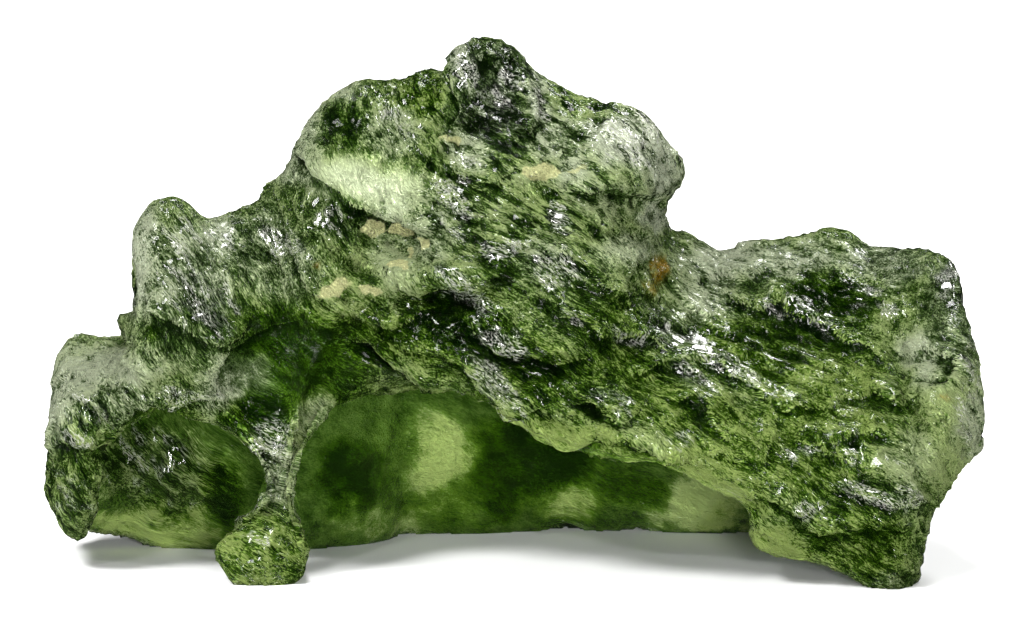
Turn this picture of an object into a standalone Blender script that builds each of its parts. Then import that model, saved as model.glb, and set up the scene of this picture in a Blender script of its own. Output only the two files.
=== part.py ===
"""Moldavite: one natural piece of bottle-green glass, a sculpted shell that arches over a hollow.

The stone stands on three worn spots: the foot of the pillar between its two front arches, the low
tip at its right end, and the lower edge of its back wall. Lengths are in millimetres until the mesh
is made, then in metres. +X runs to the right, +Y to the back and +Z up.

The whole skin is one closed surface. Six edges run along the stone from its left end to its right
end: the crest, the belly of the front wall, the rim of the arches, the roof of the hollow, the heel
of the back wall and the spine of the back. A ring is drawn through them at each station.
"""

from math import cos, radians, sin

import bmesh
import bpy
import numpy as np

NAME = "moldavite"
MM = 0.001                 # metres
LINE_OF_SIGHT = radians(11)  # across and up are measured square to a line this far above level
LAST_STATION = 100
COLUMNS = 108
ROWS = 42

# Each edge is a list of (station, across, up), seen from the front, and a list of (station, back).
CREST = (
    (0, -16.95, 3.45), (2, -16.8, 5.3), (4, -16.7, 6.8), (6, -16.45, 8.3), (8, -15.9, 8.95),
    (9.5, -14.9, 8.9), (11, -14.1, 8.85), (12.2, -13.45, 8.75), (12.8, -13.2, 9),
    (13.3, -13.55, 9.15), (13.8, -14.15, 9.4), (14.2, -14.3, 9.7), (14.6, -13.95, 9.85),
    (15.2, -13.45, 10.05), (16, -13.45, 10.9), (17.5, -13.65, 11.9), (18.8, -13.75, 12.6),
    (20, -13.35, 13.5), (21.5, -12.55, 14), (22.7, -11.9, 13.85), (24, -11.3, 13.35),
    (25, -10.8, 13.25), (26, -10.05, 13.6), (27.5, -9.3, 14.05), (28.5, -8.95, 14.45),
    (30, -8.3, 15.05), (31.5, -7.75, 16.05), (33, -7.25, 16.95), (34.5, -6.45, 17.7),
    (36, -5.45, 18.25), (38, -4.2, 18.25), (40, -3.25, 18.6), (41.5, -2.4, 18.75),
    (42.5, -2.15, 19.35), (44, -1.35, 19.75), (45.5, -0.55, 19.7), (47, 0.25, 19.2),
    (48.5, 1, 18.45), (50, 1.75, 17.95), (53, 3.15, 17.45), (55.5, 4.35, 17.2), (57.3, 5.15, 16.7),
    (59, 5.7, 15.9), (60.3, 6.15, 15.3), (61.3, 6.05, 14.75), (62.3, 5.4, 14.35),
    (63.5, 5.4, 13.7), (65, 5.75, 12.95), (67, 6.45, 12.75), (69, 7.4, 12.15), (72, 8.75, 12.4),
    (75, 9.8, 12.55), (77, 10.4, 12.65), (80, 12.1, 12.85), (82, 12.95, 12.25), (84, 13.95, 12.25),
    (87, 15.25, 12.05), (89, 15.95, 11.55), (91, 16.15, 10.55), (93, 16.4, 9.45), (95, 16.6, 8.4),
    (97, 16.85, 7.1), (98.7, 17, 6.2), (100, 17, 5.45),
)
RIM = (
    (0, -16.95, 3.45), (2, -16.7, 2.85), (4, -16.35, 2.25), (6, -15.9, 1.85), (8, -15.4, 2.2),
    (9.5, -15.2, 2.95), (11, -15.15, 3.85), (12.4, -15.2, 4.85), (13.8, -14.6, 5.65),
    (16.3, -13.2, 6.15), (19, -12.55, 6.45), (21, -11.95, 6.05), (23, -11.1, 5.95),
    (25, -10.3, 5.8), (27, -9.6, 5.3), (28.5, -9.05, 4.6), (29.5, -8.75, 3.7), (30.2, -8.9, 2.95),
    (30.8, -9.65, 2.25), (31.4, -10.3, 1.7), (31.9, -10.6, 1.25), (32.6, -10.3, 0.55),
    (33.5, -9.65, 0.05), (34.7, -8.85, -0.15), (35.7, -8.1, -0.05), (36.4, -7.65, 0.45),
    (37, -7.55, 1.1), (37.8, -7.8, 2), (38.5, -8, 2.8), (39.3, -8, 3.55), (40, -7.75, 4.65),
    (41, -7.35, 5.4), (42, -6.8, 6.05), (43, -6.15, 6.55), (45, -4.8, 6.9), (48, -3.2, 7.2),
    (50.5, -2, 6.95), (53, -0.75, 6.35), (56, 0.55, 5.55), (59, 1.7, 5.1), (62, 2.8, 4.8),
    (65, 4.05, 4.55), (68, 5.3, 4.5), (71, 6.4, 3.95), (74, 7.55, 3.3), (77, 8.4, 2.8),
    (78.3, 8.65, 2.25), (79.5, 8.75, 1.6), (81, 9.45, 1.2), (83.5, 10.7, 0.85), (86, 12.15, 0.55),
    (88, 13.2, -0.05), (89.3, 13.85, -0.35), (90.6, 14.35, 0.25), (92.3, 14.65, 1.25),
    (94, 15.05, 2.55), (95.7, 15.65, 3.65), (97.3, 16.25, 4.5), (98.7, 16.85, 4.95),
    (100, 17, 5.45),
)
BELLY = (
    (0, -16.95, 3.45), (4, -16.35, 5.3), (8, -15.45, 6.2), (12, -14.25, 6.7), (15, -13.4, 6.9),
    (19, -12.55, 7.1), (23, -11.35, 7.05), (26, -10.35, 6.8), (28, -9.65, 6.05),
    (29.5, -8.85, 4.5), (31, -8.6, 3.85), (34, -8.4, 3.55), (37, -8.15, 3.85), (38.5, -8, 4.5),
    (40, -7.6, 5.85), (42, -6.9, 6.9), (44, -5.9, 7.6), (48, -3.65, 7.9), (52, -1.35, 7.35),
    (56, 0.55, 6.45), (60, 2.15, 5.9), (64, 3.8, 5.5), (68, 5.3, 5.3), (72, 6.8, 4.65),
    (76, 8.4, 4.1), (80, 10, 3.5), (84, 11.6, 2.95), (88, 13.25, 2.6), (91, 14.25, 2.95),
    (94, 15.25, 3.8), (97.5, 16.35, 4.85), (100, 17, 5.45),
)
HEEL = (
    (0, -16.95, 3.45), (4, -16.45, 2.7), (8, -15.4, 2.05), (12, -14.2, 1.9), (17, -13.1, 1.45),
    (22, -12.1, 1.25), (27, -10.95, 1.25), (31, -9.5, 1.2), (35, -8.05, 0.95), (39, -6.6, 1.2),
    (43, -5.15, 1.35), (45.5, -4.35, 1.5), (47, -4, 1.8), (50, -2.65, 1.7), (54, -1.2, 1.55),
    (58, 0.45, 1.75), (62, 1.9, 2.15), (66, 3.15, 1.75), (69, 4.2, 2.05), (72, 5.5, 1.8),
    (75, 6.75, 1.6), (78, 8, 1.9), (80, 8.65, 2.05), (84, 10.35, 2.2), (88, 12.15, 2.4),
    (92, 14.15, 2.95), (96, 15.8, 4.2), (100, 17, 5.45),
)
CREST_BACK = (
    (0, 4.7), (6, 6), (12, 6.7), (14, 5.4), (21, 4.3), (25, 5.4), (30, 6.1), (36, 5.4), (40, 5.4),
    (44, 5.1), (50, 5.4), (58, 6), (62, 7.4), (66, 8.5), (72, 9.2), (80, 9), (86, 7.4), (91, 4.7),
    (96, 3.4), (100, 3.2),
)
RIM_BACK = (
    (0, 4.7), (6, 2.9), (10, 2.5), (14, 2), (20, 2), (27, 1.4), (31, 0.9), (34, 0.6), (37, 0.9),
    (41, 1.6), (43, 3.2), (46, 4.5), (49, 4.2), (51, 2.2), (53, 1.6), (57, 1.4), (65, 0.7),
    (75, 0.5), (82, 0.3), (89, 0.1), (94, 1.4), (100, 3.2),
)
BELLY_BACK = (
    (0, 4.7), (6, 2), (10, 1.6), (14, 1.2), (20, 1.2), (26, 1.6), (30, 1.7), (34, 1.4), (38, 1.6),
    (41, 2.2), (46, 2.2), (50, 1.4), (55, 0.7), (65, -0.2), (75, -0.4), (82, -0.5), (89, -0.7),
    (94, 0.5), (100, 3.2),
)
LIP = (
    (0, 0.9), (8, 0.9), (13, 0.9), (22, 0.9), (29, 1.4), (32, 2), (36, 2), (40, 1.3), (48, 0.9),
    (60, 0.8), (72, 0.9), (79, 1.3), (89, 1.7), (94, 1.4), (100, 0.9),
)
HEEL_BACK = (
    (0, 4.7), (4, 6.3), (8, 7.2), (12, 7.6), (22, 7.6), (30, 7.4), (36, 7.6), (43, 8.5), (47, 9.9),
    (55, 10.5), (65, 10.8), (75, 10.5), (84, 9.7), (90, 7.8), (96, 4.7), (100, 3.2),
)
VAULT = (
    (0, 3.4), (5, 3.2), (8, 4.7), (12, 6.1), (17, 6.6), (22, 6.6), (29, 6), (33, 5.4), (37, 6),
    (42, 7.2), (50, 7.8), (58, 7), (66, 6), (76, 4.5), (84, 3.6), (90, 3.2), (95, 4), (100, 4.9),
)
SPINE = (
    (0, 4.7), (6, 8.8), (12, 10.5), (22, 11.2), (34, 12.5), (46, 14.3), (58, 14.8), (70, 14.6),
    (80, 13.5), (88, 10.5), (95, 5.8), (100, 3.2),
)

# Swells and hollows of the front: (across, up, half length, half width, turn in degrees, height).
LUMPS = (
    (-11.7, 12.0, 1.9, 1.6, -35, 0.55), (-15.0, 7.2, 1.6, 1.6, 0, 0.45), (-15.8, 3.4, 1.1, 1.2, 0, 0.35),
    (-8.6, 7.7, 2.0, 1.9, 0, -0.95), (-11.0, 8.6, 0.7, 1.9, -10, 0.35), (-5.2, 16.6, 2.5, 1.6, 25, 0.75),
    (-5.7, 16.7, 0.8, 0.5, 0, -0.5), (-5.1, 14.2, 2.2, 0.9, -20, -0.4), (-4.3, 12.6, 1.5, 1.3, 0, -0.8),
    (-0.7, 17.6, 1.7, 1.9, 0, 0.8), (-2.6, 17.0, 0.5, 2.0, 10, -0.6), (3.9, 15.9, 2.3, 1.8, 15, 1.1),
    (4.7, 13.3, 1.6, 1.0, 20, -0.75), (-1.2, 12.9, 2.1, 1.4, -30, 0.3), (-2.5, 11.2, 2.2, 0.4, 5, 0.4),
    (-2.5, 10.3, 2.0, 0.5, 5, -0.5), (11.5, 10.4, 1.2, 0.9, 0, -0.8), (10.3, 9.6, 3.4, 0.5, -25, 0.45),
    (14.2, 6.2, 0.5, 3.4, 10, -0.5), (12.0, 4.6, 2.6, 1.3, -33, 0.45), (6.8, 8.0, 2.8, 0.7, -33, 0.35),
    (-9.0, 1.2, 1.3, 0.9, 0, 0.2),
)
SWELL_SIZES = (4.2, 2.1, 1.1)       # how far apart the swells of each roughness are
SWELL_HEIGHTS = (0.34, 0.20, 0.10)  # and how high they stand
GRAIN_DIRECTIONS = 256
GRAIN_SEED = 14
PRIMES = (73856093, 19349663, 83492791)
FRONT_START, FRONT_END, FRONT_FADE = 1.6, 5.0, 0.8  # points of the ring between which lumps stand
CREST_REACH, CREST_SWELL = 1.2, 0.35  # near the crest the roughness falls to this share
WORN = 0.2                 # what stands less than this above the ground is worn flat

ROW_SHARE = np.array([1, 1, 1, 1, 2, 2, 1, 1, 1, 1, 1.6, 1.6, 1, 1, 1])  # more rows at rim and heel

# Sections: shares of the way from one edge to another, and thicknesses.
RING_COUNT = 15            # points round one section
CLOSING = 9                # over how many stations the ends close
CREST_EASE, BELLY_EASE, HEEL_EASE = 2.5, 2, 3
BROW_SHARE, BROW_SWELL = 0.3, 1.0
CHEST_SHARE, CHEST_SWELL = 0.66, 1.1
LIP_SHARE, LIP_SWELL = 0.62, 0.25
ROOF_SHARE = 0.55
LIP_IN_SHARE, LIP_IN_PULL, LIP_IN_PILLAR = 0.12, 0.1, 0.4
CHEEK_SHARE, CHEEK_PULL, CHEEK_PILLAR = 0.7, 0.7, 0.3
BACK_IN_SHARE, HEEL_IN_SHARE = 0.45, 0.85
FRONT_WALL = 2.2
BACK_WALL, BACK_RIM = 2.4, 1.3
SPINE_SHARE, HEEL_OUT_SHARE, HEEL_OUT_DEPTH = 0.42, 0.35, 0.72
NAPE_SHARE, NAPE_DEPTH = 0.55, 0.4
PILLAR_STATION = 32.5      # near the pillar the inner side follows its neck
PILLAR_REACH = 3.0
COLUMN_SHARE = ((CREST, 0.5), (RIM, 0.6), (BELLY, 1.0))  # which edges draw the columns closer
CORNERS = np.array([(x, y, z) for x in (0, 1) for y in (0, 1) for z in (0, 1)])


def clear_scene():
    for old in list(bpy.data.objects):
        bpy.data.objects.remove(old)


def along(edge, stations):
    """The edge at each station: a smooth curve through its points, slopes averaged from both sides."""
    points = np.array(edge, float)
    at, values = points[:, 0], points[:, 1:]
    gap = np.diff(at)
    chord = np.diff(values, axis=0) / gap[:, None]
    share = (gap[:-1] / (gap[:-1] + gap[1:]))[:, None]
    slope = np.concatenate([chord[:1], chord[:-1] * (1 - share) + chord[1:] * share, chord[-1:]])
    i = np.clip(np.searchsorted(at, stations, side="right") - 1, 0, len(gap) - 1)
    t = ((stations - at[i]) / gap[i])[:, None]
    run = gap[i][:, None]
    return (
        (2 * t**3 - 3 * t**2 + 1) * values[i] + (t**3 - 2 * t**2 + t) * run * slope[i]
        + (3 * t**2 - 2 * t**3) * values[i + 1] + (t**3 - t**2) * run * slope[i + 1]
    )


def eased(edge, stations, reach):
    """The edge averaged over reach stations to each side, so that its small jags fade."""
    shifts = np.linspace(-1, 1, 9) * reach
    near = [along(edge, np.clip(stations + shift, 0, LAST_STATION)) for shift in shifts]
    return np.mean(near, axis=0)


def stand(seen, back):
    """Points (x, y, z) from (across, up) as seen and from how far back they lie."""
    back = back.reshape(-1)
    up = (seen[:, 1] - back * sin(LINE_OF_SIGHT)) / cos(LINE_OF_SIGHT)
    return np.stack([seen[:, 0], back, up], axis=-1)


def between(a, b, share):
    """The point a share of the way from a to b."""
    return a + (b - a) * share


def pushed(points, distance):
    """The points moved back by distance, or forward where it is negative."""
    moved = points.copy()
    moved[:, 1] += distance
    return moved


def fullness(stations):
    """0 at both ends of the stone, where all edges meet, and 1 where the section is at its full depth."""
    near_end = np.clip(np.minimum(stations, LAST_STATION - stations) / CLOSING, 0, 1)
    return np.sqrt(near_end * (2 - near_end))


def sections(stations):
    """Fifteen points round the stone at each station, from the crest down the front and up the back."""
    full = fullness(stations)
    hollow = full * full
    at_pillar = np.exp(-(((stations - PILLAR_STATION) / PILLAR_REACH) ** 2))
    crest_back = along(CREST_BACK, stations)
    rim_back = along(RIM_BACK, stations)
    heel_back = along(HEEL_BACK, stations)
    crest = stand(along(CREST, stations), crest_back)
    soft_crest = stand(eased(CREST, stations, CREST_EASE), crest_back)
    rim = stand(along(RIM, stations), rim_back)
    belly = stand(eased(BELLY, stations, BELLY_EASE), along(BELLY_BACK, stations))
    heel = stand(along(HEEL, stations), heel_back)
    soft_heel = stand(eased(HEEL, stations, HEEL_EASE), heel_back)

    brow = pushed(between(soft_crest, belly, BROW_SHARE), -BROW_SWELL * full)
    chest = pushed(between(soft_crest, belly, CHEST_SHARE), -CHEST_SWELL * full)
    lip_out = pushed(between(belly, rim, LIP_SHARE), -LIP_SWELL * full)

    middle = between(rim, heel, ROOF_SHARE)
    soft_middle = between(belly, soft_heel, ROOF_SHARE)
    roof = middle.copy()
    roof[:, 0] = between(middle[:, 0], soft_middle[:, 0], hollow)
    roof[:, 2] = between(middle[:, 2], along(VAULT, stations)[:, 0], hollow)
    lip_in = between(rim, roof, LIP_IN_SHARE)
    lip_in[:, 0] = between(rim[:, 0], belly[:, 0], LIP_IN_PULL + LIP_IN_PILLAR * at_pillar)
    lip_in[:, 1] = rim[:, 1] + along(LIP, stations)[:, 0] * full
    cheek_in = between(rim, roof, CHEEK_SHARE)
    cheek_in[:, 0] = between(rim[:, 0], belly[:, 0], CHEEK_PULL + CHEEK_PILLAR * at_pillar)
    cheek_in[:, 1] = rim[:, 1] + FRONT_WALL * full
    back_in = between(roof, heel, BACK_IN_SHARE)
    back_in[:, 1] = heel[:, 1] - BACK_WALL * full
    heel_in = between(roof, heel, HEEL_IN_SHARE)
    heel_in[:, 1] = heel[:, 1] - BACK_RIM * full

    spine_back = along(SPINE, stations)[:, 0]
    spine = between(soft_heel, soft_crest, SPINE_SHARE)
    spine[:, 1] = spine_back
    heel_out = between(heel, spine, HEEL_OUT_SHARE)
    heel_out[:, 1] = between(heel[:, 1], spine_back, HEEL_OUT_DEPTH)
    nape = between(spine, soft_crest, NAPE_SHARE)
    nape[:, 1] = between(spine_back, crest[:, 1], NAPE_DEPTH)
    ring = (crest, brow, chest, belly, lip_out, rim, lip_in, cheek_in, roof, back_in, heel_in, heel,
            heel_out, spine, nape)
    return np.stack(ring, axis=1)


def rings(corners, turns):
    """A smooth closed curve through each section's points, read at the given turns of the ring."""
    count = corners.shape[1]
    i = np.floor(turns).astype(int)
    t = (turns - i)[None, :, None]
    before, here, after, beyond = (corners[:, (i + step) % count] for step in (-1, 0, 1, 2))
    return 0.5 * (
        2 * here + (after - before) * t + (2 * before - 5 * here + 4 * after - beyond) * t**2
        + (3 * here - before - 3 * after + beyond) * t**3
    )


def even_stations(count):
    """Stations that stand closer where the crest, the belly and the rim bend away fast."""
    fine = np.linspace(0, LAST_STATION, 4001)
    steps = sum(
        weight * np.linalg.norm(np.diff(along(edge, fine), axis=0), axis=1)
        for edge, weight in COLUMN_SHARE
    )
    run = np.concatenate([[0], np.cumsum(steps)])
    return np.interp(np.linspace(0, run[-1], count), run, fine)


def even_turns(corners, count):
    """Turns round the ring spaced by its average length, closer at the rim and at the heel."""
    ends = np.roll(corners, -1, axis=1)
    lengths = np.linalg.norm(ends - corners, axis=2).mean(axis=0) * ROW_SHARE
    run = np.concatenate([[0], np.cumsum(lengths)])
    return np.interp(np.linspace(0, run[-1], count, endpoint=False), run, np.arange(len(run)))


def grain(points, directions):
    """Gradient noise: each lattice corner pushes along its own direction, blended inside the cell."""
    cell = np.floor(points).astype(int)
    inside = points - cell
    ease = inside**3 * (inside * (inside * 6 - 15) + 10)
    total = np.zeros(len(points))
    for corner in CORNERS:
        at = cell + corner
        pick = (at[:, 0] * PRIMES[0] ^ at[:, 1] * PRIMES[1] ^ at[:, 2] * PRIMES[2]) % GRAIN_DIRECTIONS
        share = np.prod(np.where(corner == 1, ease, 1 - ease), axis=1)
        total += share * np.sum(directions[pick] * (inside - corner), axis=1)
    return total


def outward(grid):
    """The unit normals of the closed grid, from the steps along it and round it."""
    length_step = np.gradient(grid, axis=0)
    round_step = np.roll(grid, -1, axis=1) - np.roll(grid, 1, axis=1)
    normal = np.cross(round_step, length_step)
    return normal / np.maximum(np.linalg.norm(normal, axis=2, keepdims=True), 1e-9)


def lumps(grid):
    """The height of the front's swells and hollows, each a bell over a turned ellipse."""
    up = grid[..., 2] * cos(LINE_OF_SIGHT) + grid[..., 1] * sin(LINE_OF_SIGHT)
    height = np.zeros(grid.shape[:2])
    for across, rise, length, width, turn, tall in LUMPS:
        c, s = cos(radians(turn)), sin(radians(turn))
        x, y = grid[..., 0] - across, up - rise
        far = ((x * c + y * s) / length) ** 2 + ((y * c - x * s) / width) ** 2
        height += tall * np.exp(-far)
    return height


def stone_points():
    """The skin of the stone as a grid of points, columns along it and rows round it."""
    stations = even_stations(COLUMNS + 2)
    corners = sections(stations[1:-1])
    turns = even_turns(corners, ROWS)
    grid = rings(corners, turns)
    normal = outward(grid)
    on_front = np.clip(np.minimum(turns / FRONT_START, (FRONT_END - turns) / FRONT_FADE), 0, 1)
    full = fullness(stations[1:-1])[:, None]
    height = lumps(grid) * on_front * full
    from_crest = np.clip(np.minimum(turns, RING_COUNT - turns) / CREST_REACH, 0, 1)
    loose = full * (CREST_SWELL + (1 - CREST_SWELL) * from_crest)
    directions = np.random.default_rng(GRAIN_SEED).normal(size=(GRAIN_DIRECTIONS, 3))
    directions /= np.linalg.norm(directions, axis=1, keepdims=True)
    flat = grid.reshape(-1, 3)
    for size, tall in zip(SWELL_SIZES, SWELL_HEIGHTS):
        height += tall * loose * grain(flat / size, directions).reshape(height.shape)
    grid = grid + normal * height[..., None]
    ends = sections(stations[[0, -1]]).mean(axis=1)
    return grid, ends


def stone_mesh():
    """The closed mesh: rings joined by four-sided faces, with a fan at each end."""
    grid, ends = stone_points()
    columns, rows = grid.shape[:2]
    points = np.concatenate([grid.reshape(-1, 3), ends])
    points[:, 2] = np.where(points[:, 2] < WORN, 0, points[:, 2])
    points[:, :2] -= (points[:, :2].min(axis=0) + points[:, :2].max(axis=0)) / 2
    i, j = np.meshgrid(np.arange(columns - 1), np.arange(rows), indexing="ij")
    beside = (j + 1) % rows
    quads = np.stack([i * rows + j, (i + 1) * rows + j, (i + 1) * rows + beside, i * rows + beside], -1)
    row = np.arange(rows)
    after = (row + 1) % rows
    left_end, right_end = columns * rows, columns * rows + 1
    last = (columns - 1) * rows
    left = np.stack([np.full(rows, left_end), row, after], axis=-1)
    right = np.stack([np.full(rows, right_end), last + after, last + row], axis=-1)
    faces = quads.reshape(-1, 4).tolist() + left.tolist() + right.tolist()
    mesh = bpy.data.meshes.new(NAME)
    mesh.from_pydata((points * MM).tolist(), [], faces)
    tidy = bmesh.new()
    tidy.from_mesh(mesh)
    bmesh.ops.recalc_face_normals(tidy, faces=tidy.faces)
    tidy.to_mesh(mesh)
    tidy.free()
    mesh.shade_smooth()
    return mesh


def glass():
    material = bpy.data.materials.new("green natural glass")
    material.use_nodes = True
    shader = material.node_tree.nodes["Principled BSDF"]
    shader.inputs["Base Color"].default_value = (0.16, 0.27, 0.08, 1)
    shader.inputs["Roughness"].default_value = 0.25
    shader.inputs["Metallic"].default_value = 0
    return material


clear_scene()
stone = bpy.data.objects.new(NAME, stone_mesh())
stone.data.materials.append(glass())
bpy.context.scene.collection.objects.link(stone)
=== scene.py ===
# %% [markdown]
# # A moldavite, from its frame to its finish
#
# The stone is one piece of natural green glass. It stands like a small vault: a thick wall arches
# over a hollow, and a pillar parts the front of it into two arches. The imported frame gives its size
# and place. Here it gets its fine skin, its glass and its light.

# %% The frame
from math import cos, radians, sin

import bpy
import numpy as np
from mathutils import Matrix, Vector


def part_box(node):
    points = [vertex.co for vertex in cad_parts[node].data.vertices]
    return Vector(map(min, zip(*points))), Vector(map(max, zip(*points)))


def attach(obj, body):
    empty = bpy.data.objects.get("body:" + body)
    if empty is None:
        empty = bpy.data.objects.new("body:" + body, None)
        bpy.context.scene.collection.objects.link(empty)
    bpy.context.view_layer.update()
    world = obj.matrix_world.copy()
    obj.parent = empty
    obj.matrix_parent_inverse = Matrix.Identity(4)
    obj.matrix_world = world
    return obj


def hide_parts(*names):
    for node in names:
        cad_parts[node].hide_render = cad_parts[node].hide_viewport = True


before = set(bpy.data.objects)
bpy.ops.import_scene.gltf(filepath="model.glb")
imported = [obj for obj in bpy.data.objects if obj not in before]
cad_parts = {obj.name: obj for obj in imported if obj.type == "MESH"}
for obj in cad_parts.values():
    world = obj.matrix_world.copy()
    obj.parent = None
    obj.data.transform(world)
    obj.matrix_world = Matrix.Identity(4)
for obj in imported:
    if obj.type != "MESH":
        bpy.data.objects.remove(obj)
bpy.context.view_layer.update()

STONE = "moldavite"
MM = 0.001
cad_low, cad_high = (np.array(corner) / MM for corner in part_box(STONE))
print("the stone measures", np.round(cad_high - cad_low, 1), "mm")

# %% [markdown]
# ## The edges of the form
#
# A form with no straight line in it can be sculpted, or grown from noise, or drawn by its edges. It
# is drawn here, because the edges decide what the eye knows the stone by: its crest, the rim of its
# arches, the belly of the front wall above them and the heel of the back wall. Each edge is a list
# of (station, across, up) in millimetres, as seen from the front and a little from above. The
# stations count from the left end to the right.

# %% Edges as seen from the front
LINE_OF_SIGHT = radians(11)
LAST_STATION = 100
CREST = (
    (0, -16.95, 3.45), (2, -16.8, 5.3), (4, -16.7, 6.8), (6, -16.45, 8.3), (8, -15.9, 8.95),
    (9.5, -14.9, 8.9), (11, -14.1, 8.85), (12.2, -13.45, 8.75), (12.8, -13.2, 9),
    (13.3, -13.55, 9.15), (13.8, -14.15, 9.4), (14.2, -14.3, 9.7), (14.6, -13.95, 9.85),
    (15.2, -13.45, 10.05), (16, -13.45, 10.9), (17.5, -13.65, 11.9), (18.8, -13.75, 12.6),
    (20, -13.35, 13.5), (21.5, -12.55, 14), (22.7, -11.9, 13.85), (24, -11.3, 13.35),
    (25, -10.8, 13.25), (26, -10.05, 13.6), (27.5, -9.3, 14.05), (28.5, -8.95, 14.45),
    (30, -8.3, 15.05), (31.5, -7.75, 16.05), (33, -7.25, 16.95), (34.5, -6.45, 17.7),
    (36, -5.45, 18.25), (38, -4.2, 18.25), (40, -3.25, 18.6), (41.5, -2.4, 18.75),
    (42.5, -2.15, 19.35), (44, -1.35, 19.75), (45.5, -0.55, 19.7), (47, 0.25, 19.2),
    (48.5, 1, 18.45), (50, 1.75, 17.95), (53, 3.15, 17.45), (55.5, 4.35, 17.2), (57.3, 5.15, 16.7),
    (59, 5.7, 15.9), (60.3, 6.15, 15.3), (61.3, 6.05, 14.75), (62.3, 5.4, 14.35),
    (63.5, 5.4, 13.7), (65, 5.75, 12.95), (67, 6.45, 12.75), (69, 7.4, 12.15), (72, 8.75, 12.4),
    (75, 9.8, 12.55), (77, 10.4, 12.65), (80, 12.1, 12.85), (82, 12.95, 12.25), (84, 13.95, 12.25),
    (87, 15.25, 12.05), (89, 15.95, 11.55), (91, 16.15, 10.55), (93, 16.4, 9.45), (95, 16.6, 8.4),
    (97, 16.85, 7.1), (98.7, 17, 6.2), (100, 17, 5.45),
)
RIM = (
    (0, -16.95, 3.45), (2, -16.7, 2.85), (4, -16.35, 2.25), (6, -15.9, 1.85), (8, -15.4, 2.2),
    (9.5, -15.2, 2.95), (11, -15.15, 3.85), (12.4, -15.2, 4.85), (13.8, -14.6, 5.65),
    (16.3, -13.2, 6.15), (19, -12.55, 6.45), (21, -11.95, 6.05), (23, -11.1, 5.95),
    (25, -10.3, 5.8), (27, -9.6, 5.3), (28.5, -9.05, 4.6), (29.5, -8.75, 3.7), (30.2, -8.9, 2.95),
    (30.8, -9.65, 2.25), (31.4, -10.3, 1.7), (31.9, -10.6, 1.25), (32.6, -10.3, 0.55),
    (33.5, -9.65, 0.05), (34.7, -8.85, -0.15), (35.7, -8.1, -0.05), (36.4, -7.65, 0.45),
    (37, -7.55, 1.1), (37.8, -7.8, 2), (38.5, -8, 2.8), (39.3, -8, 3.55), (40, -7.75, 4.65),
    (41, -7.35, 5.4), (42, -6.8, 6.05), (43, -6.15, 6.55), (45, -4.8, 6.9), (48, -3.2, 7.2),
    (50.5, -2, 6.95), (53, -0.75, 6.35), (56, 0.55, 5.55), (59, 1.7, 5.1), (62, 2.8, 4.8),
    (65, 4.05, 4.55), (68, 5.3, 4.5), (71, 6.4, 3.95), (74, 7.55, 3.3), (77, 8.4, 2.8),
    (78.3, 8.65, 2.25), (79.5, 8.75, 1.6), (81, 9.45, 1.2), (83.5, 10.7, 0.85), (86, 12.15, 0.55),
    (88, 13.2, -0.05), (89.3, 13.85, -0.35), (90.6, 14.35, 0.25), (92.3, 14.65, 1.25),
    (94, 15.05, 2.55), (95.7, 15.65, 3.65), (97.3, 16.25, 4.5), (98.7, 16.85, 4.95),
    (100, 17, 5.45),
)
BELLY = (
    (0, -16.95, 3.45), (4, -16.35, 5.3), (8, -15.45, 6.2), (12, -14.25, 6.7), (15, -13.4, 6.9),
    (19, -12.55, 7.1), (23, -11.35, 7.05), (26, -10.35, 6.8), (28, -9.65, 6.05),
    (29.5, -8.85, 4.5), (31, -8.6, 3.85), (34, -8.4, 3.55), (37, -8.15, 3.85), (38.5, -8, 4.5),
    (40, -7.6, 5.85), (42, -6.9, 6.9), (44, -5.9, 7.6), (48, -3.65, 7.9), (52, -1.35, 7.35),
    (56, 0.55, 6.45), (60, 2.15, 5.9), (64, 3.8, 5.5), (68, 5.3, 5.3), (72, 6.8, 4.65),
    (76, 8.4, 4.1), (80, 10, 3.5), (84, 11.6, 2.95), (88, 13.25, 2.6), (91, 14.25, 2.95),
    (94, 15.25, 3.8), (97.5, 16.35, 4.85), (100, 17, 5.45),
)
HEEL = (
    (0, -16.95, 3.45), (4, -16.45, 2.7), (8, -15.4, 2.05), (12, -14.2, 1.9), (17, -13.1, 1.45),
    (22, -12.1, 1.25), (27, -10.95, 1.25), (31, -9.5, 1.2), (35, -8.05, 0.95), (39, -6.6, 1.2),
    (43, -5.15, 1.35), (45.5, -4.35, 1.5), (47, -4, 1.8), (50, -2.65, 1.7), (54, -1.2, 1.55),
    (58, 0.45, 1.75), (62, 1.9, 2.15), (66, 3.15, 1.75), (69, 4.2, 2.05), (72, 5.5, 1.8),
    (75, 6.75, 1.6), (78, 8, 1.9), (80, 8.65, 2.05), (84, 10.35, 2.2), (88, 12.15, 2.4),
    (92, 14.15, 2.95), (96, 15.8, 4.2), (100, 17, 5.45),
)
print("edges drawn with", sum(map(len, (CREST, RIM, BELLY, HEEL))), "points")

# %% [markdown]
# ## How deep the edges lie
#
# A drawing from the front says nothing of depth, so each edge has a second list: (station, back) in
# millimetres. The lip is how thick the rim is, the vault how high the hollow reaches, and the spine
# how far the back of the stone stands out. The pillar's foot comes forward of the wall behind it.

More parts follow.
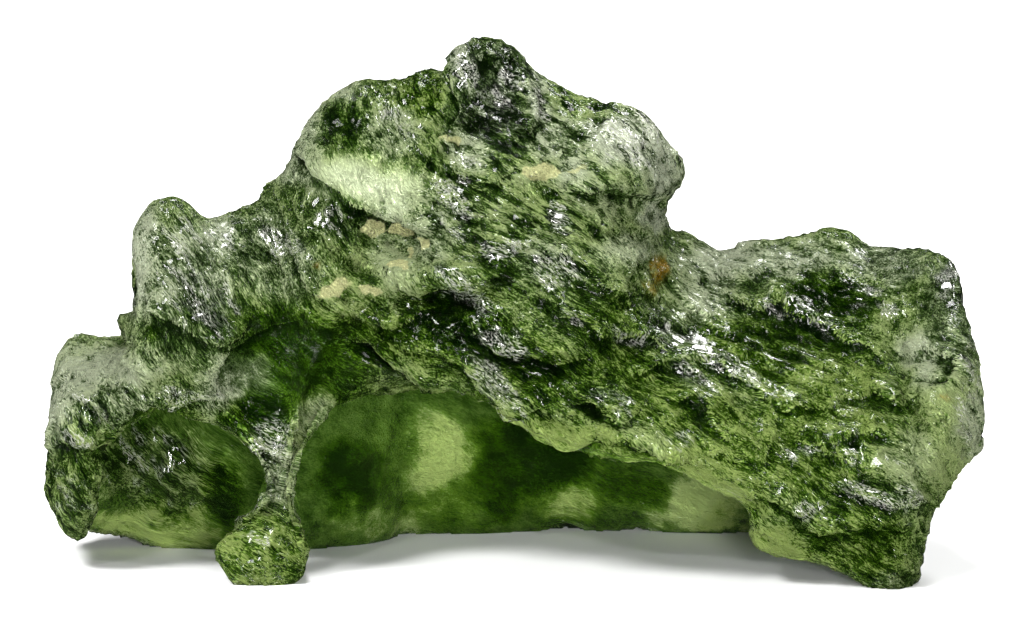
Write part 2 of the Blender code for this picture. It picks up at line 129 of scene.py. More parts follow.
# %% Depths
CREST_BACK = (
    (0, 4.7), (6, 6), (12, 6.7), (14, 5.4), (21, 4.3), (25, 5.4), (30, 6.1), (36, 5.4), (40, 5.4),
    (44, 5.1), (50, 5.4), (58, 6), (62, 7.4), (66, 8.5), (72, 9.2), (80, 9), (86, 7.4), (91, 4.7),
    (96, 3.4), (100, 3.2),
)
RIM_BACK = (
    (0, 4.7), (6, 2.9), (10, 2.5), (14, 2), (20, 2), (27, 1.4), (31, 0.9), (34, 0.6), (37, 0.9),
    (41, 1.6), (43, 3.2), (46, 4.5), (49, 4.2), (51, 2.2), (53, 1.6), (57, 1.4), (65, 0.7),
    (75, 0.5), (82, 0.3), (89, 0.1), (94, 1.4), (100, 3.2),
)
BELLY_BACK = (
    (0, 4.7), (6, 2), (10, 1.6), (14, 1.2), (20, 1.2), (26, 1.6), (30, 1.7), (34, 1.4), (38, 1.6),
    (41, 2.2), (46, 2.2), (50, 1.4), (55, 0.7), (65, -0.2), (75, -0.4), (82, -0.5), (89, -0.7),
    (94, 0.5), (100, 3.2),
)
LIP = (
    (0, 0.9), (8, 0.9), (13, 0.9), (22, 0.9), (29, 1.4), (32, 2), (36, 2), (40, 1.3), (48, 0.9),
    (60, 0.8), (72, 0.9), (79, 1.3), (89, 1.7), (94, 1.4), (100, 0.9),
)
HEEL_BACK = (
    (0, 4.7), (4, 6.3), (8, 7.2), (12, 7.6), (22, 7.6), (30, 7.4), (36, 7.6), (43, 8.5), (47, 9.9),
    (55, 10.5), (65, 10.8), (75, 10.5), (84, 9.7), (90, 7.8), (96, 4.7), (100, 3.2),
)
VAULT = (
    (0, 3.4), (5, 3.2), (8, 4.7), (12, 6.1), (17, 6.6), (22, 6.6), (29, 6), (33, 5.4), (37, 6),
    (42, 7.2), (50, 7.8), (58, 7), (66, 6), (76, 4.5), (84, 3.6), (90, 3.2), (95, 4), (100, 4.9),
)
SPINE = (
    (0, 4.7), (6, 8.8), (12, 10.5), (22, 11.2), (34, 12.5), (46, 14.3), (58, 14.8), (70, 14.6),
    (80, 13.5), (88, 10.5), (95, 5.8), (100, 3.2),
)
print("the back stands out up to", max(back for _, back in SPINE), "mm")

# %% [markdown]
# ## A smooth line through the points of an edge
#
# Straight steps from point to point would show as facets. A cubic curve between two points, with a
# slope at each end averaged from its two neighbours, passes through every point with no kink. Where
# an edge only leads the form inside it, its small jags are averaged away first.

# %% Curves along the stone
EASE_SPOTS = 9             # spots of an edge that one average takes in


def along(edge, stations):
    """The edge at each station: a smooth curve through its points, slopes averaged from both sides."""
    points = np.array(edge, float)
    at, values = points[:, 0], points[:, 1:]
    gap = np.diff(at)
    chord = np.diff(values, axis=0) / gap[:, None]
    share = (gap[:-1] / (gap[:-1] + gap[1:]))[:, None]
    slope = np.concatenate([chord[:1], chord[:-1] * (1 - share) + chord[1:] * share, chord[-1:]])
    i = np.clip(np.searchsorted(at, stations, side="right") - 1, 0, len(gap) - 1)
    t = ((stations - at[i]) / gap[i])[:, None]
    run = gap[i][:, None]
    return (
        (2 * t**3 - 3 * t**2 + 1) * values[i] + (t**3 - 2 * t**2 + t) * run * slope[i]
        + (3 * t**2 - 2 * t**3) * values[i + 1] + (t**3 - t**2) * run * slope[i + 1]
    )


def eased(edge, stations, reach):
    """The edge averaged over reach stations to each side, so that its small jags fade."""
    shifts = np.linspace(-1, 1, EASE_SPOTS) * reach
    near = [along(edge, np.clip(stations + shift, 0, LAST_STATION)) for shift in shifts]
    return np.mean(near, axis=0)


highest = along(CREST, np.linspace(0, LAST_STATION, 4 * LAST_STATION))[:, 1].max()
print("the crest reaches", round(highest, 2), "mm as seen")

# %% [markdown]
# ## From the front view to the round
#
# A point that lies further back looks higher, because the line of sight comes down at 11 degrees.
# Undoing that turns (across, up) and a depth into (x, y, z). Both ends of the stone close to a point
# like the end of an egg, so every depth is scaled by a quarter circle there.

# %% Points in the round
CLOSING = 9                # over how many stations the ends close


def stand(seen, back):
    """Points (x, y, z) from (across, up) as seen and from how far back they lie."""
    back = back.reshape(-1)
    up = (seen[:, 1] - back * sin(LINE_OF_SIGHT)) / cos(LINE_OF_SIGHT)
    return np.stack([seen[:, 0], back, up], axis=-1)


def between(a, b, share):
    """The point a share of the way from a to b."""
    return a + (b - a) * share


def pushed(points, distance):
    """The points moved back by distance, or forward where it is negative."""
    moved = points.copy()
    moved[:, 1] += distance
    return moved


def fullness(stations):
    """0 at both ends of the stone, where all edges meet, and 1 where the section is at its full depth."""
    near_end = np.clip(np.minimum(stations, LAST_STATION - stations) / CLOSING, 0, 1)
    return np.sqrt(near_end * (2 - near_end))


print("full depth from station", CLOSING, "to", LAST_STATION - CLOSING)

# %% [markdown]
# ## Sections round the stone
#
# Fifteen points round the stone at each station make its section, most of them placed between two
# edges and pushed forward or back. From the crest they run down the front, round the rim, over the
# hollow's roof, down the inside of the back wall and up the outside of it. Giving only these points
# keeps the form easy to change: a swell is one number.

# %% Sections
RING_COUNT = 15            # points round one section
CREST_EASE, BELLY_EASE, HEEL_EASE = 2.5, 2, 3
BROW_SHARE, BROW_SWELL = 0.3, 1.0
CHEST_SHARE, CHEST_SWELL = 0.66, 1.1
LIP_SHARE, LIP_SWELL = 0.62, 0.25
ROOF_SHARE = 0.55
LIP_IN_SHARE, LIP_IN_PULL, LIP_IN_PILLAR = 0.12, 0.1, 0.4
CHEEK_SHARE, CHEEK_PULL, CHEEK_PILLAR = 0.7, 0.7, 0.3
BACK_IN_SHARE, HEEL_IN_SHARE = 0.45, 0.85
FRONT_WALL = 2.2
BACK_WALL, BACK_RIM = 2.4, 1.3
SPINE_SHARE, HEEL_OUT_SHARE, HEEL_OUT_DEPTH = 0.42, 0.35, 0.72
NAPE_SHARE, NAPE_DEPTH = 0.55, 0.4
PILLAR_STATION = 32.5      # near the pillar the inner side follows its neck
PILLAR_REACH = 3.0


def sections(stations):
    """Fifteen points round the stone at each station, from the crest down the front and up the back."""
    full = fullness(stations)
    hollow = full * full
    at_pillar = np.exp(-(((stations - PILLAR_STATION) / PILLAR_REACH) ** 2))
    crest_back = along(CREST_BACK, stations)
    rim_back = along(RIM_BACK, stations)
    heel_back = along(HEEL_BACK, stations)
    crest = stand(along(CREST, stations), crest_back)
    soft_crest = stand(eased(CREST, stations, CREST_EASE), crest_back)
    rim = stand(along(RIM, stations), rim_back)
    belly = stand(eased(BELLY, stations, BELLY_EASE), along(BELLY_BACK, stations))
    heel = stand(along(HEEL, stations), heel_back)
    soft_heel = stand(eased(HEEL, stations, HEEL_EASE), heel_back)

    brow = pushed(between(soft_crest, belly, BROW_SHARE), -BROW_SWELL * full)
    chest = pushed(between(soft_crest, belly, CHEST_SHARE), -CHEST_SWELL * full)
    lip_out = pushed(between(belly, rim, LIP_SHARE), -LIP_SWELL * full)

    middle = between(rim, heel, ROOF_SHARE)
    soft_middle = between(belly, soft_heel, ROOF_SHARE)
    roof = middle.copy()
    roof[:, 0] = between(middle[:, 0], soft_middle[:, 0], hollow)
    roof[:, 2] = between(middle[:, 2], along(VAULT, stations)[:, 0], hollow)
    lip_in = between(rim, roof, LIP_IN_SHARE)
    lip_in[:, 0] = between(rim[:, 0], belly[:, 0], LIP_IN_PULL + LIP_IN_PILLAR * at_pillar)
    lip_in[:, 1] = rim[:, 1] + along(LIP, stations)[:, 0] * full
    cheek_in = between(rim, roof, CHEEK_SHARE)
    cheek_in[:, 0] = between(rim[:, 0], belly[:, 0], CHEEK_PULL + CHEEK_PILLAR * at_pillar)
    cheek_in[:, 1] = rim[:, 1] + FRONT_WALL * full
    back_in = between(roof, heel, BACK_IN_SHARE)
    back_in[:, 1] = heel[:, 1] - BACK_WALL * full
    heel_in = between(roof, heel, HEEL_IN_SHARE)
    heel_in[:, 1] = heel[:, 1] - BACK_RIM * full

    spine_back = along(SPINE, stations)[:, 0]
    spine = between(soft_heel, soft_crest, SPINE_SHARE)
    spine[:, 1] = spine_back
    heel_out = between(heel, spine, HEEL_OUT_SHARE)
    heel_out[:, 1] = between(heel[:, 1], spine_back, HEEL_OUT_DEPTH)
    nape = between(spine, soft_crest, NAPE_SHARE)
    nape[:, 1] = between(spine_back, crest[:, 1], NAPE_DEPTH)
    ring = (crest, brow, chest, belly, lip_out, rim, lip_in, cheek_in, roof, back_in, heel_in, heel,
            heel_out, spine, nape)
    return np.stack(ring, axis=1)


print("one section has", sections(np.array([50.0])).shape[1], "points")

# %% [markdown]
# ## Round the ring
#
# The same cubic idea joins the points of one section, but as a closed ring: the last point is the
# first one's neighbour. Then the whole skin is one function of two parameters, the station along the
# stone and the turn round it, and both can be as fine as the relief needs.

# %% Rings
def rings(corners, turns):
    """A smooth closed curve through each section's points, read at the given turns of the ring."""
    count = corners.shape[1]
    i = np.floor(turns).astype(int)
    t = (turns - i)[None, :, None]
    before, here, after, beyond = (corners[:, (i + step) % count] for step in (-1, 0, 1, 2))
    return 0.5 * (
        2 * here + (after - before) * t + (2 * before - 5 * here + 4 * after - beyond) * t**2
        + (3 * here - before - 3 * after + beyond) * t**3
    )


print("half a turn from the crest:", rings(sections(np.array([50.0])), np.array([7.5]))[0, 0].round(1))

# %% [markdown]
# ## Where the points go
#
# The mesh may have just under 200,000 triangles. Half of its rows lie on the front, where the relief
# is finest, and its columns crowd where an edge bends away fast.

# %% Spacing
COLUMNS = 436
ROWS = 226
MEASURING_STATIONS = 4001
ROW_SHARE = np.array([2.6, 2.6, 2.6, 2.4, 2.4, 1.6, 1, 1, 1, 1, 1.2, 1.2, 1.3, 1.3, 1.5])
COLUMN_SHARE = ((CREST, 0.5), (RIM, 0.6), (BELLY, 1.0))


def even_stations(count):
    """Stations at equal steps of a length, which is the weighted sum of three edges' own lengths."""
    fine = np.linspace(0, LAST_STATION, MEASURING_STATIONS)
    steps = sum(
        weight * np.linalg.norm(np.diff(along(edge, fine), axis=0), axis=1)
        for edge, weight in COLUMN_SHARE
    )
    run = np.concatenate([[0], np.cumsum(steps)])
    return np.interp(np.linspace(0, run[-1], count), run, fine)


def even_turns(corners, count):
    """Turns round the ring spaced by its average length, closer at the rim and at the heel."""
    ends = np.roll(corners, -1, axis=1)
    lengths = np.linalg.norm(ends - corners, axis=2).mean(axis=0) * ROW_SHARE
    run = np.concatenate([[0], np.cumsum(lengths)])
    return np.interp(np.linspace(0, run[-1], count, endpoint=False), run, np.arange(len(run)))


stations = even_stations(COLUMNS + 2)
corners = sections(stations[1:-1])
turns = even_turns(corners, ROWS)
full = fullness(stations[1:-1])[:, None]
grid = rings(corners, turns)
shape = grid.shape[:2]
ends = sections(stations[[0, -1]]).mean(axis=1)
print("a grid of", shape, "points, about", round(2 * grid[..., 0].max() / COLUMNS, 2), "mm apart")

# %% [markdown]
# ## Soft noise
#
# Nature leaves no surface even. Gradient noise gives each corner of a lattice a direction and blends
# between them, so it swells softly with one size of swell. Bent over at zero it makes sharp crests,
# like the drawn threads of a melt.

# %% Gradient noise
GRAIN_DIRECTIONS = 256
GRAIN_SEED = 14
CORNERS = np.array([(x, y, z) for x in (0, 1) for y in (0, 1) for z in (0, 1)])
PRIMES = (73856093, 19349663, 83492791)
directions = np.random.default_rng(GRAIN_SEED).normal(size=(GRAIN_DIRECTIONS, 3))
directions /= np.linalg.norm(directions, axis=1, keepdims=True)


def picked(at, count):
    """One number below count for each lattice cell: its three places times primes, mixed bit by bit."""
    return (at[:, 0] * PRIMES[0] ^ at[:, 1] * PRIMES[1] ^ at[:, 2] * PRIMES[2]) % count


def grain(points):
    """Gradient noise: each lattice corner gives its direction dot the way to the point, eased between."""
    cell = np.floor(points).astype(int)
    way = points - cell
    ease = way**3 * (way * (way * 6 - 15) + 10)
    total = np.zeros(len(points))
    for corner in CORNERS:
        push = directions[picked(cell + corner, GRAIN_DIRECTIONS)]
        share = np.prod(np.where(corner == 1, ease, 1 - ease), axis=1)
        total += share * np.sum(push * (way - corner), axis=1)
    return total


def layered(points, layers):
    """Noise of several sizes: the sum of tall times the noise of the points over size, plus shift."""
    return sum(tall * grain(points / size + shift) for size, tall, shift in layers)


def wavy(seen, waves, shift_across, shift_up):
    """The points moved across and up by noise: for each (size, tall), tall times the noise at that size."""
    moved = seen.copy()
    for size, tall in waves:
        moved[:, 0] += tall * grain(seen / size + shift_across)
        moved[:, 1] += tall * grain(seen / size + shift_up)
    return moved


print("the noise keeps within", np.abs(grain(grid.reshape(-1, 3))).max().round(2), "of 0")

# %% [markdown]
# ## Cell noise
#
# Acids in the ground have eaten overlapping scales into the glass. Cell noise suits them: it scatters
# one seed in each lattice cell and tells every point its nearest one. Inside a cell the skin can rise
# towards one side, and it drops at the next cell.

# %% Cell noise
SEED_SPOTS = 4096
SPOT_SEED = 5
spots = np.random.default_rng(SPOT_SEED).random((SEED_SPOTS, 3))
FARTHEST = 9.0             # further than any nearest seed
NEIGHBOURS = np.array([(x, y, z) for x in (-1, 0, 1) for y in (-1, 0, 1) for z in (-1, 0, 1)])


def cells(points, seed):
    """The step from the nearest seed, its length, the length to the second, and a number of the cell's own.

    All 27 cells round a point are tried in turn, and the nearest seed is kept.
    """
    points = points + seed
    home = np.floor(points).astype(int)
    near = np.full(len(points), FARTHEST)
    second = np.full(len(points), FARTHEST)
    step = np.zeros((len(points), 3))
    own = np.zeros(len(points))
    for shift in NEIGHBOURS:
        pick = picked(home + shift, SEED_SPOTS)
        away = points - home - shift - spots[pick]
        far = np.linalg.norm(away, axis=1)
        closer = far < near
        second = np.where(closer, near, np.minimum(second, far))
        near = np.where(closer, far, near)
        step[closer] = away[closer]
        own = np.where(closer, spots[pick, 0], own)
    return step, near, second, own


print(SEED_SPOTS, "seeds scattered")

# %% [markdown]
# ## Lumps
#
# The big swells and hollows give the front its faces: the dome, the knob, the shoulder, the bowl.
# Each is a bell over a turned ellipse, with (across, up, half length, half width, turn, height). Three
# sizes of soft noise keep the parts between them uneven. They could be modelled by hand, but as a
# table they stay in step with the stone's core.

# %% Lumps
LUMPS = (
    (-11.7, 12.0, 1.9, 1.6, -35, 0.55), (-15.0, 7.2, 1.6, 1.6, 0, 0.45), (-15.8, 3.4, 1.1, 1.2, 0, 0.35),
    (-8.6, 7.7, 2.0, 1.9, 0, -0.95), (-11.0, 8.6, 0.7, 1.9, -10, 0.35), (-5.2, 16.6, 2.5, 1.6, 25, 0.75),
    (-5.7, 16.7, 0.8, 0.5, 0, -0.5), (-5.1, 14.2, 2.2, 0.9, -20, -0.4), (-4.3, 12.6, 1.5, 1.3, 0, -0.8),
    (-0.7, 17.6, 1.7, 1.9, 0, 0.8), (-2.6, 17.0, 0.5, 2.0, 10, -0.6), (3.9, 15.9, 2.3, 1.8, 15, 1.1),
    (4.7, 13.3, 1.6, 1.0, 20, -0.75), (-1.2, 12.9, 2.1, 1.4, -30, 0.3), (-2.5, 11.2, 2.2, 0.4, 5, 0.4),
    (-2.5, 10.3, 2.0, 0.5, 5, -0.5), (11.5, 10.4, 1.2, 0.9, 0, -0.8), (10.3, 9.6, 3.4, 0.5, -25, 0.45),
    (14.2, 6.2, 0.5, 3.4, 10, -0.5), (12.0, 4.6, 2.6, 1.3, -33, 0.45), (6.8, 8.0, 2.8, 0.7, -33, 0.35),
    (-9.0, 1.2, 1.3, 0.9, 0, 0.2),
)
SWELLS = ((4.2, 0.34, 0), (2.1, 0.20, 0), (1.1, 0.10, 0))    # each: size, height and shift
FRONT_START, FRONT_END, FRONT_FADE = 1.6, 5.0, 0.8  # points of the ring between which lumps stand
CREST_REACH, CREST_SWELL = 1.2, 0.35                # near the crest the swells fall to this share


def outward(grid):
    """The unit normals of the closed grid, from the steps along it and round it."""
    length_step = np.gradient(grid, axis=0)
    round_step = np.roll(grid, -1, axis=1) - np.roll(grid, 1, axis=1)
    normal = np.cross(round_step, length_step)
    return normal / np.maximum(np.linalg.norm(normal, axis=2, keepdims=True), 1e-9)


def lumps(grid):
    """The height of the front's swells and hollows, each a bell over a turned ellipse."""
    up = grid[..., 2] * cos(LINE_OF_SIGHT) + grid[..., 1] * sin(LINE_OF_SIGHT)
    height = np.zeros(grid.shape[:2])
    for across, rise, length, width, turn, tall in LUMPS:
        c, s = cos(radians(turn)), sin(radians(turn))
        x, y = grid[..., 0] - across, up - rise
        far = ((x * c + y * s) / length) ** 2 + ((y * c - x * s) / width) ** 2
        height += tall * np.exp(-far)
    return height


on_front = np.clip(np.minimum(turns / FRONT_START, (FRONT_END - turns) / FRONT_FADE), 0, 1)
from_crest = np.clip(np.minimum(turns, RING_COUNT - turns) / CREST_REACH, 0, 1)
height = lumps(grid) * on_front * full
swell = layered(grid.reshape(-1, 3), SWELLS).reshape(shape)
height += full * (CREST_SWELL + (1 - CREST_SWELL) * from_crest) * swell
grid = grid + outward(grid) * height[..., None]
print("lumps move the skin by", height.min().round(2), "to", height.max().round(2), "mm")

# %% [markdown]
# ## Which points belong to which side
#
# The relief is laid on by place. Seen from the front, a point has its (across, up) and a depth, and
# soft-edged ellipses pick out the knob, the dome and the rest. The turn round the ring tells the
# front from the hollow's inner wall and from the back, which no front view shows.

# %% Sides and regions
# Points of the ring where the sides pass into each other, each with how fast.
FRONT_OUT, FRONT_OUT_FADE, FRONT_IN, FRONT_IN_FADE = 5.6, 0.6, 14.5, 0.5
HOLLOW_IN, HOLLOW_IN_FADE, HOLLOW_OUT, HOLLOW_OUT_FADE = 5.4, 0.5, 11, 0.6
LIP_POINT, LIP_WIDTH = 4.8, 0.8


def seen_from_front(points):
    """(across, up, depth) of points: turned about the x axis, so that the line of sight is level."""
    c, s = cos(LINE_OF_SIGHT), sin(LINE_OF_SIGHT)
    x, y, z = points.T
    return np.stack([x, z * c + y * s, y * c - z * s], axis=1)


def window(seen, across, up, length, width, turn=0):
    """1 inside a turned ellipse and 0 outside: e to the minus fourth power of the scaled distance."""
    c, s = cos(radians(turn)), sin(radians(turn))
    x, y = seen[:, 0] - across, seen[:, 1] - up
    far = ((x * c + y * s) / length) ** 2 + ((y * c - x * s) / width) ** 2
    return np.exp(-far**2)


def every(values):
    """One value for each turn or station, spread over the whole grid as a flat list."""
    return (values * np.ones(shape)).reshape(-1)


flat = grid.reshape(-1, 3)
seen = seen_from_front(flat)
front = np.clip((FRONT_OUT - turns) / FRONT_OUT_FADE, 0, 1)
front = every(front + np.clip((turns - FRONT_IN) / FRONT_IN_FADE, 0, 1))
inside = np.minimum((turns - HOLLOW_IN) / HOLLOW_IN_FADE, (HOLLOW_OUT - turns) / HOLLOW_OUT_FADE)
inside = every(np.clip(inside, 0, 1))
outer = 1 - inside
unseen = outer * (1 - np.clip(front, 0, 1))
left = window(seen, -12.0, 11.0, 3.2, 3.6)
bowl = window(seen, -8.2, 7.9, 2.6, 2.1)
knob = window(seen, -0.6, 17.2, 2.6, 2.8)
dome = window(seen, -5.3, 16.4, 3.0, 1.9, 20)
shoulder = window(seen, 3.9, 15.6, 3.0, 2.6)
low_left = window(seen, -15.8, 4.0, 1.8, 3.2)
brow = window(seen, 0.2, 14.0, 3.4, 2.6)
lobe = window(seen, -15.3, 7.3, 1.8, 1.6)
pale = window(seen, -5.1, 14.6, 2.1, 1.2, -12)
nook = inside * window(seen, -12.9, 4.2, 2.7, 1.7, -15)
calm = np.clip(1 - left - bowl - dome - 0.5 * knob, 0, 1)
arch_lip = window(seen, 3.4, 5.4, 5.6, 3.0, -14) + 0.8 * window(seen, -13.2, 5.8, 1.8, 1.4)
arch_lip *= front * every(np.exp(-((turns - LIP_POINT) / LIP_WIDTH) ** 2))
print("front", round(front.mean(), 2), "hollow", round(inside.mean(), 2), "unseen", round(unseen.mean(), 2))

# %% [markdown]
# ## Plates
#
# The front wall is built of overlapping plates of glass, each with a lip that stands over the next
# one. Cutting them as separate solids would make many pieces of what is one. A plate is only its
# edge here: a path drawn from the front, with how far its lip stands up, how far the swell behind it
# reaches, and the points. The skin is raised on the path's left and sunk on its right.

# %% Plate edges
PLATES = (
    # under the dome cap
    (0.55, 0.9, ((-7.75, 15.8), (-7.25, 14.9), (-6.45, 14.35), (-5.8, 13.75), (-4.6, 13.3),
        (-3.65, 12.9), (-2.9, 12.65))),
    # right side of the pale patch
    (0.3, 0.6, ((-2.9, 12.65), (-3.1, 13.8), (-3.05, 14.85), (-2.9, 15.8))),
    # under the shoulder
    (0.5, 0.9, ((1.9, 14.25), (2.8, 14.1), (3.7, 14.4), (4.6, 14.1), (5.45, 14.35))),
    # ledge over the dark middle
    (0.38, 0.7, ((-4.35, 11.15), (-3.55, 10.7), (-2.65, 10.85), (-1.85, 10.45), (-0.75, 9.9))),
    # ledge right of it
    (0.32, 0.7, ((0.55, 11.75), (1.45, 12.15), (2.4, 11.75), (3.15, 10.85), (4.6, 10.6))),
    # front wall's lower left edge
    (0.5, 0.7, ((-5.8, 9), (-5.25, 8.75), (-4.45, 8.15), (-3.3, 7.45), (-2.25, 7.1))),
    # scale under the ledge
    (0.3, 0.8, ((-5.1, 9.55), (-4.25, 9.3), (-3.35, 9.7), (-2.65, 10.2))),
    # scale in the middle
    (0.34, 0.8, ((-1.55, 9.55), (-1.2, 8.9), (-0.7, 8.45), (-0.1, 8.2), (0.7, 8.3), (1.45, 8),
        (2.25, 8.1), (2.85, 8.25))),
    # scale below it
    (0.34, 0.8, ((-1.85, 8.5), (-1.55, 7.9), (-1.2, 7.15), (-0.4, 6.45), (0.45, 6.3),
        (1.35, 6.55))),
    # scale over the arch
    (0.32, 0.7, ((1.6, 6.8), (2.25, 6.6), (2.8, 6.7), (3.3, 6.15), (4.1, 5.9), (4.6, 6.35))),
    # band along the arch
    (0.3, 0.6, ((-0.85, 6.6), (-0.1, 6.15), (0.85, 5.55), (2, 5.1), (3.25, 5.4), (4.6, 5.05),
        (5.75, 4.85))),
    # long scale to the right
    (0.34, 0.8, ((1.55, 9.85), (2.55, 9.55), (3.25, 8.95), (4.1, 9.05), (4.85, 8.75),
        (5.65, 8.25))),
    # scale in the swirl's head
    (0.3, 0.7, ((4.6, 7.75), (5.4, 8), (6.4, 8.1), (7.2, 7.9), (8.1, 7.3), (9.35, 6.9))),
    # scale under it
    (0.28, 0.7, ((5.15, 7.05), (5.95, 6.8), (6.75, 6.75), (7.05, 6.1), (7.55, 5.3), (8.4, 4.65))),
    # small scale on the band
    (0.2, 0.4, ((6.75, 5.25), (7.35, 4.85), (8.1, 4.5), (8.65, 4.85))),
    # veil's lower ridge
    (0.4, 0.9, ((7.55, 10.65), (8.2, 10.2), (8.85, 9.9), (9.55, 10.05), (10.7, 9.5), (11.55, 9.15),
        (12.6, 8.65), (13.25, 8))),
    # upper veil ridge
    (0.28, 0.8, ((6.4, 11.75), (7.2, 11.25), (8.25, 10.95), (9.3, 11.15), (10.35, 11.5))),
    # pale lip at the right
    (0.45, 0.6, ((13.7, 8.75), (14.35, 8.3), (15.05, 8.5), (15.85, 8), (15.65, 7.35),
        (14.7, 7.25))),
    # thin drawn line
    (0.22, 0.35, ((9.8, 3.6), (9.2, 4.15), (9.1, 4.75), (9.45, 5.4), (9.55, 6.1), (9.15, 6.85))),
    # leaf in the swirl
    (0.32, 0.8, ((9.5, 6.4), (10.7, 6.3), (11.9, 6.6), (12.95, 6.8), (14.1, 6.5), (14.75, 6.95))),
    # leaf under it
    (0.28, 0.7, ((10, 5.45), (10.9, 5.1), (12, 5.15), (13.1, 5.45), (14.15, 5.25))),
    # low leaf
    (0.3, 0.6, ((10.9, 4.75), (12, 4.5), (13.3, 3.95), (14.5, 4))),
    # lowest leaf
    (0.28, 0.6, ((11.25, 3.55), (12.4, 3.3), (13.85, 2.9), (14.75, 2.8))),
    # crescent at the tip
    (0.25, 0.5, ((8.7, 3.45), (9.45, 3.05), (10.2, 2.7), (10.8, 2.7), (11.3, 3.15))),
    # glassy tip's upper edge
    (0.28, 0.6, ((10, 2.2), (11.05, 2.15), (12.4, 2), (14.2, 2.1))),
    # band over the left arch
    (0.3, 0.6, ((-14.5, 5.9), (-13.45, 6.45), (-12.75, 6.7), (-12.15, 6.5), (-11, 6.75),
        (-10.3, 6.55))),
    # bowl's crescent rim
    (0.38, 0.5, ((-10.85, 6.75), (-10.9, 7.3), (-10.8, 8), (-10.25, 8.9), (-9.5, 9.65))),
    # left lobe's upper edge
    (0.35, 0.7, ((-16.65, 5.1), (-16, 5.2), (-15.1, 5), (-14.35, 5.5), (-13.45, 6.05))),
    # under the left upper lobe
    (0.3, 0.7, ((-13.25, 10), (-12.55, 9.55), (-11.75, 9.3), (-10.85, 8.85), (-10.15, 9))),
    # crescent in the middle of the top
    (0.34, 0.6, ((-2.25, 15.85), (-2.15, 15.15), (-1.45, 14.7), (-0.7, 14.6), (0.3, 15.15))),
    # yellow ledge
    (0.28, 0.5, ((-0.2, 14.5), (0.85, 14.8), (2, 14.5), (2.9, 14.1))),
    # knob's left foot
    (0.32, 0.6, ((-2.1, 18.95), (-2.2, 18.15), (-1.85, 17.3), (-2.35, 16.45))),
    # knob's right foot
    (0.3, 0.6, ((0.55, 16.15), (0.95, 17.15), (0.55, 18.15), (0.1, 19.05))),
    # shoulder's left edge
    (0.28, 0.6, ((3.55, 17.45), (3.3, 16.95), (2.7, 16), (2.9, 15.4))),
    # blade of green
    (0.12, 0.14, ((-3.7, 18.4), (-3.5, 17.85), (-3, 17.35))),
    # blade beside it
    (0.12, 0.14, ((-3.05, 18.45), (-2.8, 18), (-2.35, 17.65))),
    # blade across them
    (0.1, 0.14, ((-3.55, 17.45), (-3.05, 17.65), (-2.5, 18.15))),
    # rim of the bowl
    (0.24, 0.5, ((-8.55, 6.1), (-9.85, 6.35), (-10.65, 7.0), (-10.4, 8.2), (-9.3, 9.25), (-7.7, 9.7))),
)
print(len(PLATES), "plates,", sum(len(path) for *_, path in PLATES), "points")

# %% [markdown]
# ## Raising the plates
#
# For every point of the front the nearest spot of each path is found, and on which side of the path
# the point lies. The height is a step there, softened over the edge's blur, that dies away with
# distance. The signed distance is kept too, because the colour is painted with it later: a painted
# highlight along each lip, and painted shade at the foot below it.

# %% Raising the plates
SPAN_STEPS = 6                       # short straight steps between two points of a path
EDGE_BLUR = 0.12
SUNK, SUNK_REACH = 0.55, 0.6         # the hollow below a lip, as shares of the swell above it
LEAST_FADE = 0.15
RAGGED = ((0.9, 0.32),)              # size and height of the waves that bend every path
PLATE_RISE = 1.15
MOST_SUNK, MOST_RAISED = -0.7, 0.9
FAR_FROM_EDGES = 2.0
BOLD_LIP = 0.4


def plate(seen, tall, reach, path):
    """(height, signed distance) of a plate's edge.

    The height is tall times the path's own fade at its ends, times e to the minus distance over reach
    on the raised side, and a shallower hollow of the same form on the other. A smooth step joins them.
    """
    knots = np.array(path)
    marks = np.arange(len(knots))
    fine = along(np.column_stack([marks, knots]), np.linspace(0, marks[-1], SPAN_STEPS * marks[-1] + 1))
    near = np.full(len(seen), np.inf)
    side = np.zeros(len(seen))
    share = np.zeros(len(seen))
    for k in range(len(fine) - 1):
        start, run = fine[k], fine[k + 1] - fine[k]
        away = seen[:, :2] - start
        t = np.clip(away @ run / (run @ run), 0, 1)
        gap = away - t[:, None] * run
        far = np.hypot(gap[:, 0], gap[:, 1])
        closer = far < near
        near = np.where(closer, far, near)
        side = np.where(closer, np.sign(run[0] * away[:, 1] - run[1] * away[:, 0]), side)
        share = np.where(closer, (k + t) / (len(fine) - 1), share)
    fade = np.sqrt(np.clip(np.sin(np.pi * share), 0, 1))
    raised = np.exp(-near / reach)
    sunk = -SUNK * np.exp(-near / (SUNK_REACH * reach))
    over = 0.5 + 0.5 * np.tanh(side * near / EDGE_BLUR)
    return tall * fade * (raised * over + sunk * (1 - over)), side * near / np.maximum(fade, LEAST_FADE)


fine = np.zeros(len(seen))
ledge = np.full(len(seen), FAR_FROM_EDGES)
bold = np.zeros(len(seen))
is_front = front > 0
ragged_seen = wavy(seen, RAGGED, 17.3, 29.9)[is_front]
steps = np.array([plate(ragged_seen, *one) for one in PLATES])
nearest = np.abs(steps[:, 1]).argmin(axis=0)
fine[is_front] = front[is_front] * np.clip(PLATE_RISE * steps[:, 0].sum(axis=0), MOST_SUNK, MOST_RAISED)
ledge[is_front] = np.take_along_axis(steps[:, 1], nearest[None], axis=0)[0]
ledge = np.clip(np.where(front > 0.5, ledge, FAR_FROM_EDGES), -FAR_FROM_EDGES, FAR_FROM_EDGES)
bold[is_front] = front[is_front] * np.array([tall for tall, *_ in PLATES])[nearest] / BOLD_LIP
print("plates move the skin by", fine.min().round(2), "to", fine.max().round(2), "mm")

